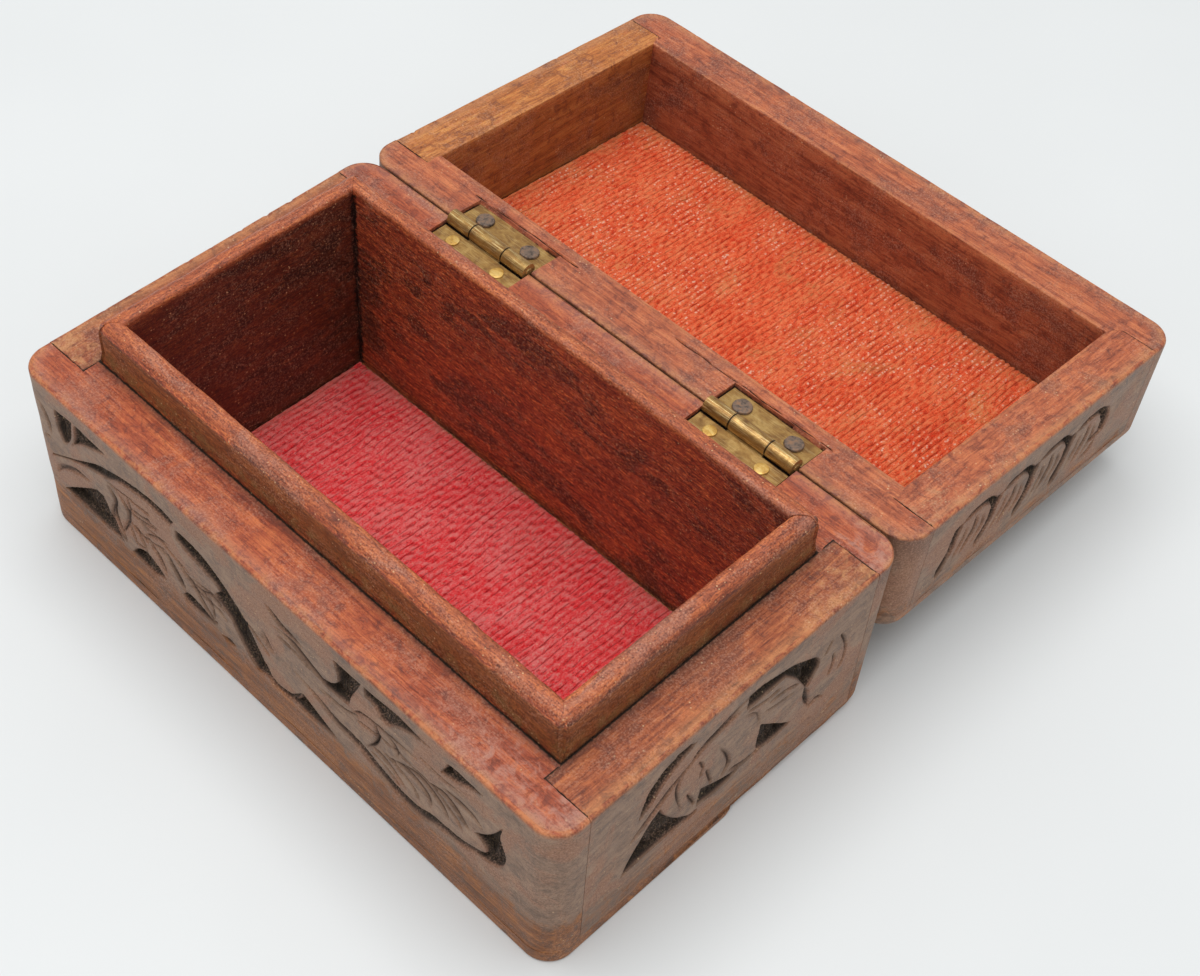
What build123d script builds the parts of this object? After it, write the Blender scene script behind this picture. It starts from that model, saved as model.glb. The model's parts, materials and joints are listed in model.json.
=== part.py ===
from build123d import *
import math
import os

# Overall size of the box, in millimetres
box_length = 165.0
box_depth = 100.0
base_height = 48.5
lid_height = 29.5
corner_radius = 6.5
arris = 0.7
lid_top_rounding = 2.6

# Walls, bottom and top, as thicknesses
base_front_wall = 13.3
base_back_wall = 13.9
base_end_wall = 12.4
lid_front_wall = 12.3
lid_back_wall = 13.2
lid_end_wall = 11.6
bottom_thickness = 3.8
lid_panel_thickness = 4.3

# What is left of a long wall outside the rebate that holds the end wall
corner_cheek = 8.75

# Liner boards, which stand proud of the rim as a lip
liner_thickness = 4.8
lip_height = 12.0
lip_outer_rounding = 2.2
lip_inner_rounding = 1.2

# Velvet on the floor of the base and inside the lid
velvet_thickness = 1.5
velvet_side_gap = 0.2

# The lid against the base, closed and open
closed_rim_gap = 0.3
open_seam_gap = 0.6
hinge_face_lean = 2.0

# Butt hinges
hinge_length = 25.0
hinge_offset = 40.0
leaf_width = 9.0
leaf_thickness = 1.0
middle_knuckle_length = 10.4
knuckle_end_gap = 0.15
knuckle_side_gap = 0.3
mortise_gap = 0.5
pin_radius = 0.95
pin_running_clearance = 0.05
pin_proud = 0.25
pin_chamfer = 0.2
curl_seam_width = 0.2
curl_seam_angle = 22.0

# Nails in the hinge leaves
nail_spacing = 14.6
base_nail_row = 5.0
lid_nail_row = 5.5
nail_length = 8.0
nail_shank_radius = 0.75
nail_hole_clearance = 0.05
nail_head_radius = 1.9
nail_crown_radius = 1.2
nail_head_height = 0.75

# Carving: the face that the foliage was drawn on, and the depth of its sunk pockets
pattern_length = 160.0
pattern_depth = 97.0
pattern_height = 47.0
pocket_depth = 2.1
pocket_overrun = 1.0

# Levels and faces that follow from the sizes above
lid_rim_level = base_height + closed_rim_gap
lid_top_level = lid_rim_level + lid_height
panel_level = lid_top_level - lid_panel_thickness
lip_level = base_height + lip_height
half_length = box_length / 2
half_depth = box_depth / 2
hinge_axis_y = half_depth + open_seam_gap / 2
hinge_axis_z = base_height + closed_rim_gap / 2
opening_angle = 180.0 + 2 * hinge_face_lean
bore_radius = pin_radius + pin_running_clearance
knuckle_radius = bore_radius + leaf_thickness


def brick(x_limits, y_limits, z_limits):
    """Rectangular block between three pairs of limits."""
    size = [high - low for low, high in (x_limits, y_limits, z_limits)]
    middle = [(high + low) / 2 for low, high in (x_limits, y_limits, z_limits)]
    return Pos(*middle) * Box(*size)


def rod(radius, length):
    """Cylinder along X, centred on the origin."""
    return Rot(0, 90, 0) * Cylinder(radius, length)


def leaning_block(rim_level, far_level):
    """Block with rounded corners, full depth at its rim; its hinge side leans in away from the rim."""
    lean = abs(far_level - rim_level) * math.tan(math.radians(hinge_face_lean))
    corners = [
        (-half_depth, rim_level),
        (half_depth, rim_level),
        (half_depth - lean, far_level),
        (-half_depth, far_level),
    ]
    profile = Plane.YZ * make_face(Polyline(*corners, close=True))
    block = extrude(profile, half_length, both=True)
    uprights = block.edges().filter_by(lambda edge: abs((edge % 0.5).Z) > 0.5)
    return fillet(uprights, corner_radius)


def base_block():
    """Outer shape of the base, from its rim to its underside, with its arrises taken off."""
    block = leaning_block(base_height, 0)
    levels = block.edges().group_by(Axis.Z)
    return chamfer(levels[0] + levels[-1], arris)


def lid_block():
    """Outer shape of the closed lid, from its rim to its rounded top."""
    block = leaning_block(lid_rim_level, lid_top_level)
    block = fillet(block.edges().group_by(Axis.Z)[-1], lid_top_rounding)
    return chamfer(block.edges().group_by(Axis.Z)[0], arris)


def wall_boards(block, z_limits, front_wall, back_wall, end_wall):
    """Four walls of a carcass: long walls rebated at both ends, end walls seated in the rebates."""
    inner_end = half_length - end_wall
    seat = half_depth - corner_cheek
    walls = block & brick((-half_length, half_length), (-half_depth, half_depth), z_limits)
    hollow = brick((-inner_end, inner_end), (front_wall - half_depth, half_depth - back_wall), z_limits)
    right_end = walls & brick((inner_end, half_length), (-seat, seat), z_limits)
    left_end = walls & brick((-half_length, -inner_end), (-seat, seat), z_limits)
    long_walls = walls - hollow - right_end - left_end
    front = long_walls & brick((-half_length, half_length), (-half_depth, 0), z_limits)
    back = long_walls & brick((-half_length, half_length), (0, half_depth), z_limits)
    return front, back, left_end, right_end


def liner_boards():
    """Four mitred boards inside the base, with rounded top edges."""
    x_outer = half_length - base_end_wall
    y_low = base_front_wall - half_depth
    y_high = half_depth - base_back_wall
    z_limits = (bottom_thickness, lip_level)
    x_inner = x_outer - liner_thickness
    ring = brick((-x_outer, x_outer), (y_low, y_high), z_limits)
    ring = fillet(ring.edges().group_by(Axis.Z)[-1], lip_outer_rounding)
    ring -= brick((-x_inner, x_inner), (y_low + liner_thickness, y_high - liner_thickness), z_limits)
    lip_face = ring.faces().sort_by(Axis.Z)[-1]
    ring = fillet(lip_face.inner_wires().edges(), lip_inner_rounding)

    # The mitres run in from the corners at 45 degrees and meet along the middle line
    y_middle = (y_low + y_high) / 2
    x_apex = x_outer - (y_high - y_low) / 2
    corners = {
        "front": [(-x_outer, y_low), (x_outer, y_low), (x_apex, y_middle), (-x_apex, y_middle)],
        "back": [(-x_outer, y_high), (-x_apex, y_middle), (x_apex, y_middle), (x_outer, y_high)],
        "left": [(-x_outer, y_low), (-x_apex, y_middle), (-x_outer, y_high)],
        "right": [(x_outer, y_low), (x_outer, y_high), (x_apex, y_middle)],
    }
    boards = {}
    for side, points in corners.items():
        mitred = Plane.XY.offset(z_limits[0]) * make_face(Polyline(*points, close=True))
        boards[side] = ring & extrude(mitred, z_limits[1] - z_limits[0])
    return boards


def carving_face(side):
    """Plane of a base wall's outer face, its origin at the middle of the rim, X along the wall and Y up it."""
    lean = math.radians(hinge_face_lean)
    middle, along, outwards = {
        "front": ((0, -half_depth), (1, 0, 0), (0, -1, 0)),
        "back": ((0, half_depth), (-1, 0, 0), (0, math.cos(lean), -math.sin(lean))),
        "right": ((half_length, 0), (0, 1, 0), (1, 0, 0)),
        "left": ((-half_length, 0), (0, -1, 0), (-1, 0, 0)),
    }[side]
    return Plane(origin=(*middle, base_height), x_dir=along, z_dir=outwards)


def pocket(side, *outline):
    """Sunk pocket in a base wall. Each part of its outline is a line between two points of the drawn
    face, counted from the middle of its foot, or an arc through three."""
    stretch = box_length / pattern_length if side in ("front", "back") else box_depth / pattern_depth
    rise = base_height / pattern_height
    edges = []
    for part in outline:
        points = [(a * stretch, q * rise - base_height, pocket_overrun) for a, q in part]
        edges.append(Line(*points) if len(points) == 2 else ThreePointArc(*points))
    solid = extrude(make_face(edges), pocket_depth + pocket_overrun, dir=(0, 0, -1))
    return carving_face(side) * solid


def long_side_carving(side):
    """Main pockets of the foliage that runs along the front, and of the same on the back."""
    return [
        # Spandrel at the left end
        pocket(side, [(-68, 42), (-50, 42)], [(-50, 42), (-60, 37), (-67.3, 31.4)], [(-67.3, 31.4), (-68, 42)]),
        # Groove over the broad leaf, the deep crescent at its tip and the half moon under its stalk
        pocket(
            side,
            [(-73, 24), (-50, 37.3), (-29.5, 39.9)],
            [(-29.5, 39.9), (-30.5, 36.6)],
            [(-30.5, 36.6), (-50, 34.2), (-73, 24)],
        ),
        pocket(
            side,
            [(-28.7, 37.5), (-11, 31), (-0.8, 14.3)],
            [(-0.8, 14.3), (-5, 12.9)],
            [(-5, 12.9), (-10.5, 19.5), (-13, 23.8)],
            [(-13, 23.8), (-17.3, 27.3)],
            [(-17.3, 27.3), (-15.6, 30)],
            [(-15.6, 30), (-22, 32.3), (-28.7, 34.3)],
            [(-28.7, 34.3), (-28.7, 37.5)],
        ),
        pocket(
            side,
            [(-71, 14), (-62, 21.7), (-54.8, 25.4)],
            [(-54.8, 25.4), (-51.5, 19), (-49, 14)],
            [(-49, 14), (-71, 14)],
        ),
        # Small pockets along the lower border
        pocket(side, [(-47, 13.6), (-41, 18.8), (-35, 14.4)], [(-35, 14.4), (-47, 13.6)]),
        pocket(side, [(-29.5, 14.4), (-25, 17.8), (-18.3, 14.8)], [(-18.3, 14.8), (-29.5, 14.4)]),
        pocket(side, [(5, 14), (9.5, 20.2)], [(9.5, 20.2), (20.3, 14.6)], [(20.3, 14.6), (5, 14)]),
        # Hooked groove and the two pockets along the upper border
        pocket(
            side,
            [(20.3, 42.8), (21.2, 36.5)],
            [(21.2, 36.5), (19, 33.7), (14.3, 31.8)],
            [(14.3, 31.8), (19.5, 30.5), (24, 31)],
            [(24, 31), (25.3, 36.5), (28, 42.8)],
            [(28, 42.8), (20.3, 42.8)],
        ),
        pocket(
            side,
            [(29.5, 42.8), (48, 42.8)],
            [(48, 42.8), (42, 41), (36, 36.8)],
            [(36, 36.8), (33.4, 36.8)],
            [(33.4, 36.8), (29.5, 39.8)],
            [(29.5, 39.8), (29.5, 42.8)],
        ),
        pocket(
            side,
            [(50, 37.6), (51.3, 40.5), (53, 42.8)],
            [(53, 42.8), (61.8, 42.7)],
            [(61.8, 42.7), (56, 39.6), (50, 37.6)],
        ),
        # Groove under the curled leaf and the hook at its tip
        pocket(side, [(15, 24.2), (40, 18.4), (60, 23.2)], [(60, 23.2), (41, 15.6), (15, 24.2)]),
        pocket(
            side,
            [(60.6, 28.4), (64.2, 33), (66.7, 38)],
            [(66.7, 38), (67.2, 28), (61.5, 21.4)],
            [(61.5, 21.4), (62.6, 25), (60.6, 28.4)],
        ),
    ]


def short_side_carving(side):
    """Main pockets of the leaf on the right end, and of the same on the left end."""
    return [
        # Spandrel, then the comma that curls over the leaf
        pocket(
            side,
            [(-26.3, 30.5), (-22.5, 40.3), (-11.5, 42.6)],
            [(-11.5, 42.6), (-19, 38), (-22.7, 33)],
            [(-22.7, 33), (-26.3, 30.5)],
        ),
        pocket(
            side,
            [(3, 42.2), (17, 39.3), (25.2, 30)],
            [(25.2, 30), (22.4, 26)],
            [(22.4, 26), (18.2, 33), (14.4, 37.4)],
            [(14.4, 37.4), (2.7, 37.6)],
            [(2.7, 37.6), (3, 42.2)],
        ),
        # Pockets along the lower border
        pocket(
            side,
            [(-29.7, 14), (-25.5, 22.5), (-20, 28.2)],
            [(-20, 28.2), (-15.8, 20.3), (-9.3, 14)],
            [(-9.3, 14), (-29.7, 14)],
        ),
        pocket(side, [(-8.4, 22.2), (-3, 19.2), (3.8, 16.4)], [(3.8, 16.4), (-8.6, 15.6)], [(-8.6, 15.6), (-8.4, 22.2)]),
        pocket(side, [(8.5, 27.3), (19.4, 17.1)], [(19.4, 17.1), (8.5, 16.8)], [(8.5, 16.8), (8.5, 27.3)]),
    ]


def velvet_piece(end_wall, front_wall, back_wall, z_limits):
    """Flat sheet of velvet that fills an opening between four walls."""
    reach = half_length - end_wall - velvet_side_gap
    y_limits = (front_wall - half_depth + velvet_side_gap, half_depth - back_wall - velvet_side_gap)
    return brick((-reach, reach), y_limits, z_limits)


def nail():
    """Nail with a bevelled round head seated on z = 0 and a plain shank below it."""
    profile = [
        (0, nail_head_height),
        (nail_crown_radius, nail_head_height),
        (nail_head_radius, 0),
        (nail_shank_radius, 0),
        (nail_shank_radius, -nail_length),
        (0, -nail_length),
    ]
    return revolve(Plane.XZ * make_face(Polyline(*profile, close=True)), Axis.Z)


def leaf_nails(row):
    """Two nails for one leaf, in the frame of the leaf's hinge axis."""
    return [Pos(side * nail_spacing / 2, -row, -bore_radius) * nail() for side in (-1, 1)]


def hinge_leaf(own_spans, bore, row):
    """Leaf with rolled knuckles about the X axis, lying below the axis and reaching towards -Y."""
    side_cut = (-knuckle_radius - knuckle_side_gap, knuckle_radius)
    plate = brick((-hinge_length / 2, hinge_length / 2), (-leaf_width, 0), (-knuckle_radius, -bore_radius))
    strip = brick((-hinge_length / 2, hinge_length / 2), side_cut, (-knuckle_radius, knuckle_radius))
    leaf = plate - strip
    for low, high in own_spans:
        root = brick((low, high), (-leaf_width, 0), (-knuckle_radius, -bore_radius))
        curl = Pos((low + high) / 2, 0, 0) * rod(knuckle_radius, high - low)
        seam = brick((low, high), (-knuckle_radius - knuckle_side_gap, 0), (-curl_seam_width / 2, curl_seam_width / 2))
        leaf += root + curl - Rot(curl_seam_angle, 0, 0) * seam
    leaf -= rod(bore, hinge_length + 1)
    for side in (-1, 1):
        hole = Cylinder(nail_shank_radius + nail_hole_clearance, knuckle_radius * 2)
        leaf -= Pos(side * nail_spacing / 2, -row, -knuckle_radius) * hole
    return leaf


def hinge_pin():
    """Pin through the three knuckles, a little proud at both ends."""
    pin = rod(pin_radius, hinge_length + 2 * pin_proud)
    return chamfer(pin.edges().filter_by(GeomType.CIRCLE), pin_chamfer)


def hinge_seat():
    """Wood cut away for one leaf and for the whole barrel, about the hinge axis."""
    reach = hinge_length / 2 + mortise_gap
    mortise = brick((-reach, reach), (-leaf_width - mortise_gap, knuckle_radius), (-knuckle_radius, 0))
    return mortise + rod(knuckle_radius + knuckle_side_gap, 2 * reach)


def opened(piece):
    """Swing a piece of the closed lid to its open position, back past flat."""
    return piece.rotate(Axis((0, hinge_axis_y, hinge_axis_z), (1, 0, 0)), -opening_angle)


def at_hinge(side, piece):
    """Place a piece that is made about the X axis at the left (-1) or right (1) hinge."""
    return Pos(side * hinge_offset, hinge_axis_y, hinge_axis_z) * piece


def over(piece):
    """Turn a base-side hinge piece into the lid-side one, by mirroring it in the closed rims."""
    return mirror(piece, Plane.XY)


def main():
    parts = {}

    # The base carcass on its bottom board, and the liner inside it
    block = base_block()
    walls = wall_boards(block, (bottom_thickness, base_height), base_front_wall, base_back_wall, base_end_wall)
    for name, board in zip(("front_board", "back_board", "left_end", "right_end"), walls):
        parts["base_" + name] = board
    for side in ("front", "back"):
        parts["base_" + side + "_board"] -= long_side_carving(side)
    for side in ("left", "right"):
        parts["base_" + side + "_end"] -= short_side_carving(side)
    parts["base_bottom"] = block & brick(
        (-half_length, half_length), (-half_depth, half_depth), (0, bottom_thickness)
    )
    for side, board in liner_boards().items():
        parts["liner_" + side] = board
    inset = liner_thickness
    parts["base_velvet"] = velvet_piece(
        base_end_wall + inset, base_front_wall + inset, base_back_wall + inset,
        (bottom_thickness, bottom_thickness + velvet_thickness),
    )

    # The lid, made closed
    lid = {}
    block = lid_block()
    walls = wall_boards(block, (lid_rim_level, panel_level), lid_front_wall, lid_back_wall, lid_end_wall)
    for name, board in zip(("front_rail", "back_rail", "left_end", "right_end"), walls):
        lid["lid_" + name] = board
    lid["lid_top_panel"] = block & brick(
        (-half_length, half_length), (-half_depth, half_depth), (panel_level, lid_top_level)
    )
    lid["lid_velvet"] = velvet_piece(
        lid_end_wall, lid_front_wall, lid_back_wall, (panel_level - velvet_thickness, panel_level)
    )

    # The hinges: the middle knuckle is the base's, the outer two are the lid's
    inner_edge = middle_knuckle_length / 2
    outer_edge = inner_edge + knuckle_end_gap
    middle_span = [(-inner_edge, inner_edge)]
    outer_spans = [(-hinge_length / 2, -outer_edge), (outer_edge, hinge_length / 2)]
    base_nails = []
    lid_nails = []
    for side, word in ((-1, "left"), (1, "right")):
        parts["base_back_board"] -= at_hinge(side, hinge_seat())
        lid["lid_back_rail"] -= at_hinge(side, over(hinge_seat()))
        base_leaf = hinge_leaf(middle_span, bore_radius, base_nail_row)
        lid_leaf = over(hinge_leaf(outer_spans, pin_radius, lid_nail_row))
        parts[word + "_hinge_base_leaf"] = at_hinge(side, base_leaf)
        lid[word + "_hinge_lid_leaf"] = at_hinge(side, lid_leaf)
        lid[word + "_hinge_pin"] = at_hinge(side, hinge_pin())
        base_nails += [at_hinge(side, piece) for piece in leaf_nails(base_nail_row)]
        lid_nails += [at_hinge(side, over(piece)) for piece in leaf_nails(lid_nail_row)]
    for piece in base_nails:
        parts["base_back_board"] -= piece
    for piece in lid_nails:
        lid["lid_back_rail"] -= piece
    parts["base_hinge_nails"] = Compound(children=base_nails)
    lid["lid_hinge_nails"] = Compound(children=lid_nails)

    # The lid as it lies open, with all its parts
    for name, piece in lid.items():
        parts[name] = opened(piece)

    os.makedirs("parts", exist_ok=True)
    for name, piece in parts.items():
        export_step(piece, "parts/" + name + ".step")


main()
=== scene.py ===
"""Looks of the carved wooden box: carved boards, mitred liner, ribbed velvets, brass hinges and nails."""

import json
import math

import bpy
import numpy as np
from mathutils import Matrix, Vector

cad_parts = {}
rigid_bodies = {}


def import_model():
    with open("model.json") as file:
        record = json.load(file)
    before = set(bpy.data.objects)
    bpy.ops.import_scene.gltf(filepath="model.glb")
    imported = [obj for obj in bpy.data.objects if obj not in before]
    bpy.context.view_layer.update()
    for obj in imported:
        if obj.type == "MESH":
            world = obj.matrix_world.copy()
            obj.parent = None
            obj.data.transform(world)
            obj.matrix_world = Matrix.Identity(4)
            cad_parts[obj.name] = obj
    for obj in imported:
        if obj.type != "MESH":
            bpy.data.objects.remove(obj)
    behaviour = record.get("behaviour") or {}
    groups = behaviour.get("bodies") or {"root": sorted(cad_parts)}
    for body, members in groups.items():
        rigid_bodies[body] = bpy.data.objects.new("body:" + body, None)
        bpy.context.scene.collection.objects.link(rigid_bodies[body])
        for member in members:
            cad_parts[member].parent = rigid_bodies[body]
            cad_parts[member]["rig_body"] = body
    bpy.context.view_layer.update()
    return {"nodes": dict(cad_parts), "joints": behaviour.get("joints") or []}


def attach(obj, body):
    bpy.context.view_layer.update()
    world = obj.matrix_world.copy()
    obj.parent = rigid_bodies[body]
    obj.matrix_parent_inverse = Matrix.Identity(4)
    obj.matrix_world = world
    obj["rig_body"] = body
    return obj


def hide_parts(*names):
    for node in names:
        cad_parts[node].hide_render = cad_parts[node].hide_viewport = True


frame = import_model()

# Sizes are in millimetres until a mesh is made
mm = 0.001

# Roundings and gaps of the woodwork, as in the solids
corner_radius = 6.5
arris = 0.7
inner_arris = 0.2
lid_top_rounding = 2.6
lip_outer_rounding = 2.8
lip_inner_rounding = 1.2
mortise_gap = 0.5
barrel_gap = 0.3
joint_gap = 0.06
base_rim_level = 48.5

# Wear of the arrises: the least and the most of it, and its share on the hinge side
least_wear = 0.3
most_wear = 1.9
hinge_side_wear = 0.45

# Liner boards: how far down the lip reaches on the inside, and the rows of points below it
lip_reach = 2.2
liner_rows = 14

# Wear of the liner's lip: along it, at its outer corners, how far from a corner that reaches, and roughness
lip_wear = 0.12
lip_corner_wear = 1.1
lip_corner_reach = 2.6
lip_roughness = 0.05

# Nails: radius and rise of a head, the leaf's outer face from the hinge axis, the shank, points round a head
brass_head = (1.7, 0.42)
iron_head = (2.3, 0.75)
leaf_face = 1.0
shank_radius = 0.72
shank_length = 7.9
head_points = 32

# Marking lines beside the hinges: distance from the hinge side, half width and depth
scribe_line = 9.75
scribe_width = 0.34
scribe_depth = 0.8

# A rim without dust: the two places between which it would thicken lie past the rim's end
no_dust = (999.0, 1000.0)

# Warm border at the foot of the base: the height at which it begins, and how far below that it is full
border_level = 21.0
border_fade = 13.0

# Painted shade of the hinge side's gap: how far it reaches down from the rim, at the edge and over the face
# Dirt: in the joints, and in a thin line where two boards meet, with how strong it is there
seam_shade_reach = 6.0
hinge_side_shade_reach = 12.0
joint_dirt = 0.34
thin_dirt = 0.5
thin_dirt_strength = 0.3
wide_dirt_strength = 0.36

# Bottom board: where along its right edge a splinter has broken away, how deep, and the height of the notch
break_start = 3.8
break_depth = 0.75
notch_height = 1.5

# Carving: the length of face that the pattern is drawn on, grid pitches, and the reach of the finest forms
pattern_length = 160.0
carving_pitch = 0.33
plain_pitch = 0.9
carved_slab_pitch = 0.5
plain_slab_pitch = 0.7
pocket_wall = 0.6
vein_line = 0.5
knife_width = 0.95

# Distances from the rim between which the grid of a carved wall is dense
base_carving = (4.5, 37.0)
lid_carving = (4.0, 23.5)

# Forms of the carving: how much of its depth a pocket's floor rises and wavers, and the pitch of the petals
floor_rise = 0.55
floor_chatter = 0.09
petal_pitch = 13.6

# Paint of the carving: how deep a cut is fully sunk and fully darkened by dirt and painted shade, and how
# many times that darkening is softened
sunk_depth = 1.5
grime_and_shade_depth = 0.9
grime_and_shade_passes = 12

# Grid of a long wall: steps of a cheek, steps of a corner's quarter circle, and how far the rings fan out
cheek_steps = 4
corner_steps = 15
fan_length = 16.0

# Tapers of a cut: its length divided by the stretch at either end over which it reaches its depth
long_taper = 3.2
blunt_taper = 9

# Velvet: rib spacing and height, points of a rib, pitch along it, inset of the edge, depth of tufts and folds
base_rib_spacing = 1.85
lid_rib_spacing = 1.6
rib_height = 0.42
rib_columns = 8
rib_pitch = 0.62
velvet_inset = 0.12
tuft_depth = 0.09
deepest_fold = 0.62

# Edge of a velvet: how far it is pressed down, over what distance, and how far in it is dusty
edge_press = 0.5
edge_reach = 0.5
dusty_reach = 2.2

# Creases: surfaces that meet at more than this many degrees keep a sharp edge between them
wood_crease = 38.0
pile_crease = 80.0

# Slightly uneven faces: the height in millimetres and how long a wave of it is
face_unevenness = 0.08
face_wave = 14
rim_unevenness = 0.05
rim_wave = 11
slab_unevenness = 0.06
slab_wave = 15

# Light and table, in metres and watts
table_reach = 3.0
lamp_size = 1.1
lamp_energy = 10.6
lamp_place = (-0.02, -0.06, 1.1)
lamp_target = (0, 0.05, 0.02)
room_colour = (0.99, 0.99, 0.98, 1)
room_strength = 0.57

# Camera of the photograph: place in metres, view and up directions, and where its axis meets the picture
camera_place = (0.204279, -0.188408, 0.364945)
camera_forward = (-0.43622, 0.46850, -0.76826)
camera_up = (-0.56222, 0.52471, 0.63921)
picture_width = 1200
picture_height = 976
focal_pixels = 2017.6
axis_pixel = (546.6, 508.0)
sensor_width = 36.0

# The hinge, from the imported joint
joint = frame["joints"][0]
hinge_y = joint["pos_m"][1] / mm
hinge_z = joint["pos_m"][2] / mm
opening = math.radians(joint["range_deg"][1])
lean_slope = math.tan((opening - math.pi) / 2)


def turned(points, angle):
    """Points turned about the hinge axis by an angle, positive when the lid closes."""
    y = points[..., 1] - hinge_y
    z = points[..., 2] - hinge_z
    out = points.copy()
    out[..., 1] = hinge_y + y * math.cos(angle) - z * math.sin(angle)
    out[..., 2] = hinge_z + y * math.sin(angle) + z * math.cos(angle)
    return out


def mesh_points(node):
    """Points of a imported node's mesh in millimetres, as it lies at rest."""
    mesh = frame["nodes"][node].data
    points = np.empty(len(mesh.vertices) * 3)
    mesh.vertices.foreach_get("co", points)
    return points.reshape(-1, 3) / mm


def limits(node):
    """Lowest and highest corner of a node with the lid shut."""
    points = mesh_points(node)
    if frame["nodes"][node]["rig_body"] == "lid":
        points = turned(points, opening)
    return points.min(0), points.max(0)


def smooth(x):
    """Smooth step: 3x^2 - 2x^3 between 0 and 1."""
    x = np.clip(x, 0, 1)
    return x * x * (3 - 2 * x)


def bell(distance, width):
    """Bell curve: 1 at no distance, and exp(-1) at the width."""
    return np.exp(-((distance / width) ** 2))


def fall(distance, radius):
    """How far a quarter-round edge lies back: radius - sqrt(radius^2 - (radius - distance)^2)."""
    return radius * (1 - np.sqrt(1 - np.clip(1 - distance / radius, 0, 1) ** 2))


def wobble(a, b, size, seed, stretch=1.0):
    """Even noise of about unit height: a sum of twelve plane waves of random heading, b stretched."""
    random = np.random.default_rng(seed)
    total = np.zeros(np.broadcast(a, b).shape)
    for _ in range(12):
        heading = random.uniform(0, math.tau)
        wave = math.tau / (size * random.uniform(0.6, 1.8))
        shift = random.uniform(0, math.tau)
        total += np.sin(wave * (math.cos(heading) * a + math.sin(heading) * b / stretch) + shift)
    return total / 3.0


def dirt_line(distance, width):
    """Dirt where two boards meet: a thin dark line and a wider softer one."""
    return thin_dirt_strength * bell(distance, thin_dirt) + wide_dirt_strength * bell(distance, width)


# Carving cuts: each is a low corner, a high corner and a depth function, with a along the face and q up it

def smooth_path(points, steps=9):
    """Catmull-Rom curve through the points: each span is the cubic with slopes half the chord of its ends."""
    points = np.array(points, float)
    if len(points) < 3:
        return points
    start, end = points[:-1], points[1:]
    before = np.vstack([2 * points[0] - points[1], points[:-2]])
    after = np.vstack([points[2:], 2 * points[-1] - points[-2]])
    t = np.linspace(0, 1, steps, endpoint=False)[None, :, None]
    p0, p1, p2, p3 = (p[:, None, :] for p in (before, start, end, after))
    curve = 0.5 * (2 * p1 + (p2 - p0) * t + (2 * p0 - 5 * p1 + 4 * p2 - p3) * t**2
                   + (3 * p1 - p0 - 3 * p2 + p3) * t**3)
    return np.vstack([curve.reshape(-1, 2), points[-1:]])


def nearest(path, a, q):
    """Distance to a path, how far along it the nearest point is, and the side (+ left, - right)."""
    best = np.full(a.shape, 1e9)
    along = np.zeros(a.shape)
    side = np.ones(a.shape)
    count = len(path) - 1
    for i in range(count):
        start, step = path[i], path[i + 1] - path[i]
        span = max(step @ step, 1e-9)
        t = np.clip(((a - start[0]) * step[0] + (q - start[1]) * step[1]) / span, 0, 1)
        da = a - start[0] - t * step[0]
        dq = q - start[1] - t * step[1]
        far = np.hypot(da, dq)
        closer = far < best
        best = np.where(closer, far, best)
        along = np.where(closer, (i + t) / count, along)
        side = np.where(closer, np.sign(step[0] * dq - step[1] * da), side)
    return best, along, side


def inside(loop, a, q):
    """True where a line to the right crosses the closed loop an odd number of times."""
    odd = np.zeros(a.shape, bool)
    for start, end in zip(loop, np.roll(loop, -1, axis=0)):
        if abs(end[1] - start[1]) < 1e-9:
            continue
        spans = (start[1] > q) != (end[1] > q)
        crossing = start[0] + (q - start[1]) * (end[0] - start[0]) / (end[1] - start[1])
        odd ^= spans & (a < crossing)
    return odd


def pocket(depth, *sides):
    """Sunk pocket between curves: deepest along the first, its floor rising away from it, with steep walls.

    Each side starts where the one before it ends, so a side of one point is a straight line.
    """
    curves = [smooth_path(sides[0])]
    for before, side in zip(sides, sides[1:]):
        curves.append(smooth_path([before[-1], *side]))
    loop = np.vstack(curves)
    closed = np.vstack([loop, loop[:1]])
    span = nearest(curves[0], loop[:, 0], loop[:, 1])[0].max()

    def depth_at(a, q):
        wall = smooth(nearest(closed, a, q)[0] / pocket_wall)
        floor = 1 - floor_rise * np.clip(nearest(curves[0], a, q)[0] / span, 0, 1)
        floor = floor + floor_chatter * wobble(a, q, 1.1, 7, 3.0)
        return np.where(inside(loop, a, q), depth * wall * floor, 0)
    return loop.min(0), loop.max(0), depth_at


def cut_along(points, depth, width, skew, taper_rate, section):
    """Cut along a curve, tapered at its ends and wider on one side by the skew.

    Section gives the share of the depth from the nearness (1 on the curve, 0 at the edge) and the distance.
    """
    path = smooth_path(points)

    def depth_at(a, q):
        far, along, side = nearest(path, a, q)
        taper = np.clip(np.minimum(along, 1 - along) * taper_rate, 0, 1) ** 0.6
        half = width / 2 * (1 + skew * side) * np.maximum(taper, 0.05)
        return depth * taper * section(np.clip(1 - far / half, 0, 1), far)
    return path.min(0) - width, path.max(0) + width, depth_at


def gouge(depth, width, *points, skew=0.0, blunt=False):
    """V-shaped cut along a curve."""
    def section(near, far):
        return near ** 0.85
    return cut_along(points, depth, width, skew, blunt_taper if blunt else long_taper, section)


def vein(*points, depth=0.5, width=2.6, skew=0.75):
    """Leaf vein: a fine sharp line, from which the leaf rises gently on one side and steeply on the other."""
    def section(near, far):
        return 0.45 * near + 1.05 * np.clip(1 - far / vein_line, 0, 1)
    return cut_along(points, depth, width, skew, long_taper, section)


def hairlines(depth, *lines):
    """Fine knife cuts, each a narrow V along its own curve that runs out at both ends."""
    return [gouge(depth, knife_width, *points, blunt=True) for points in lines]


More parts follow.
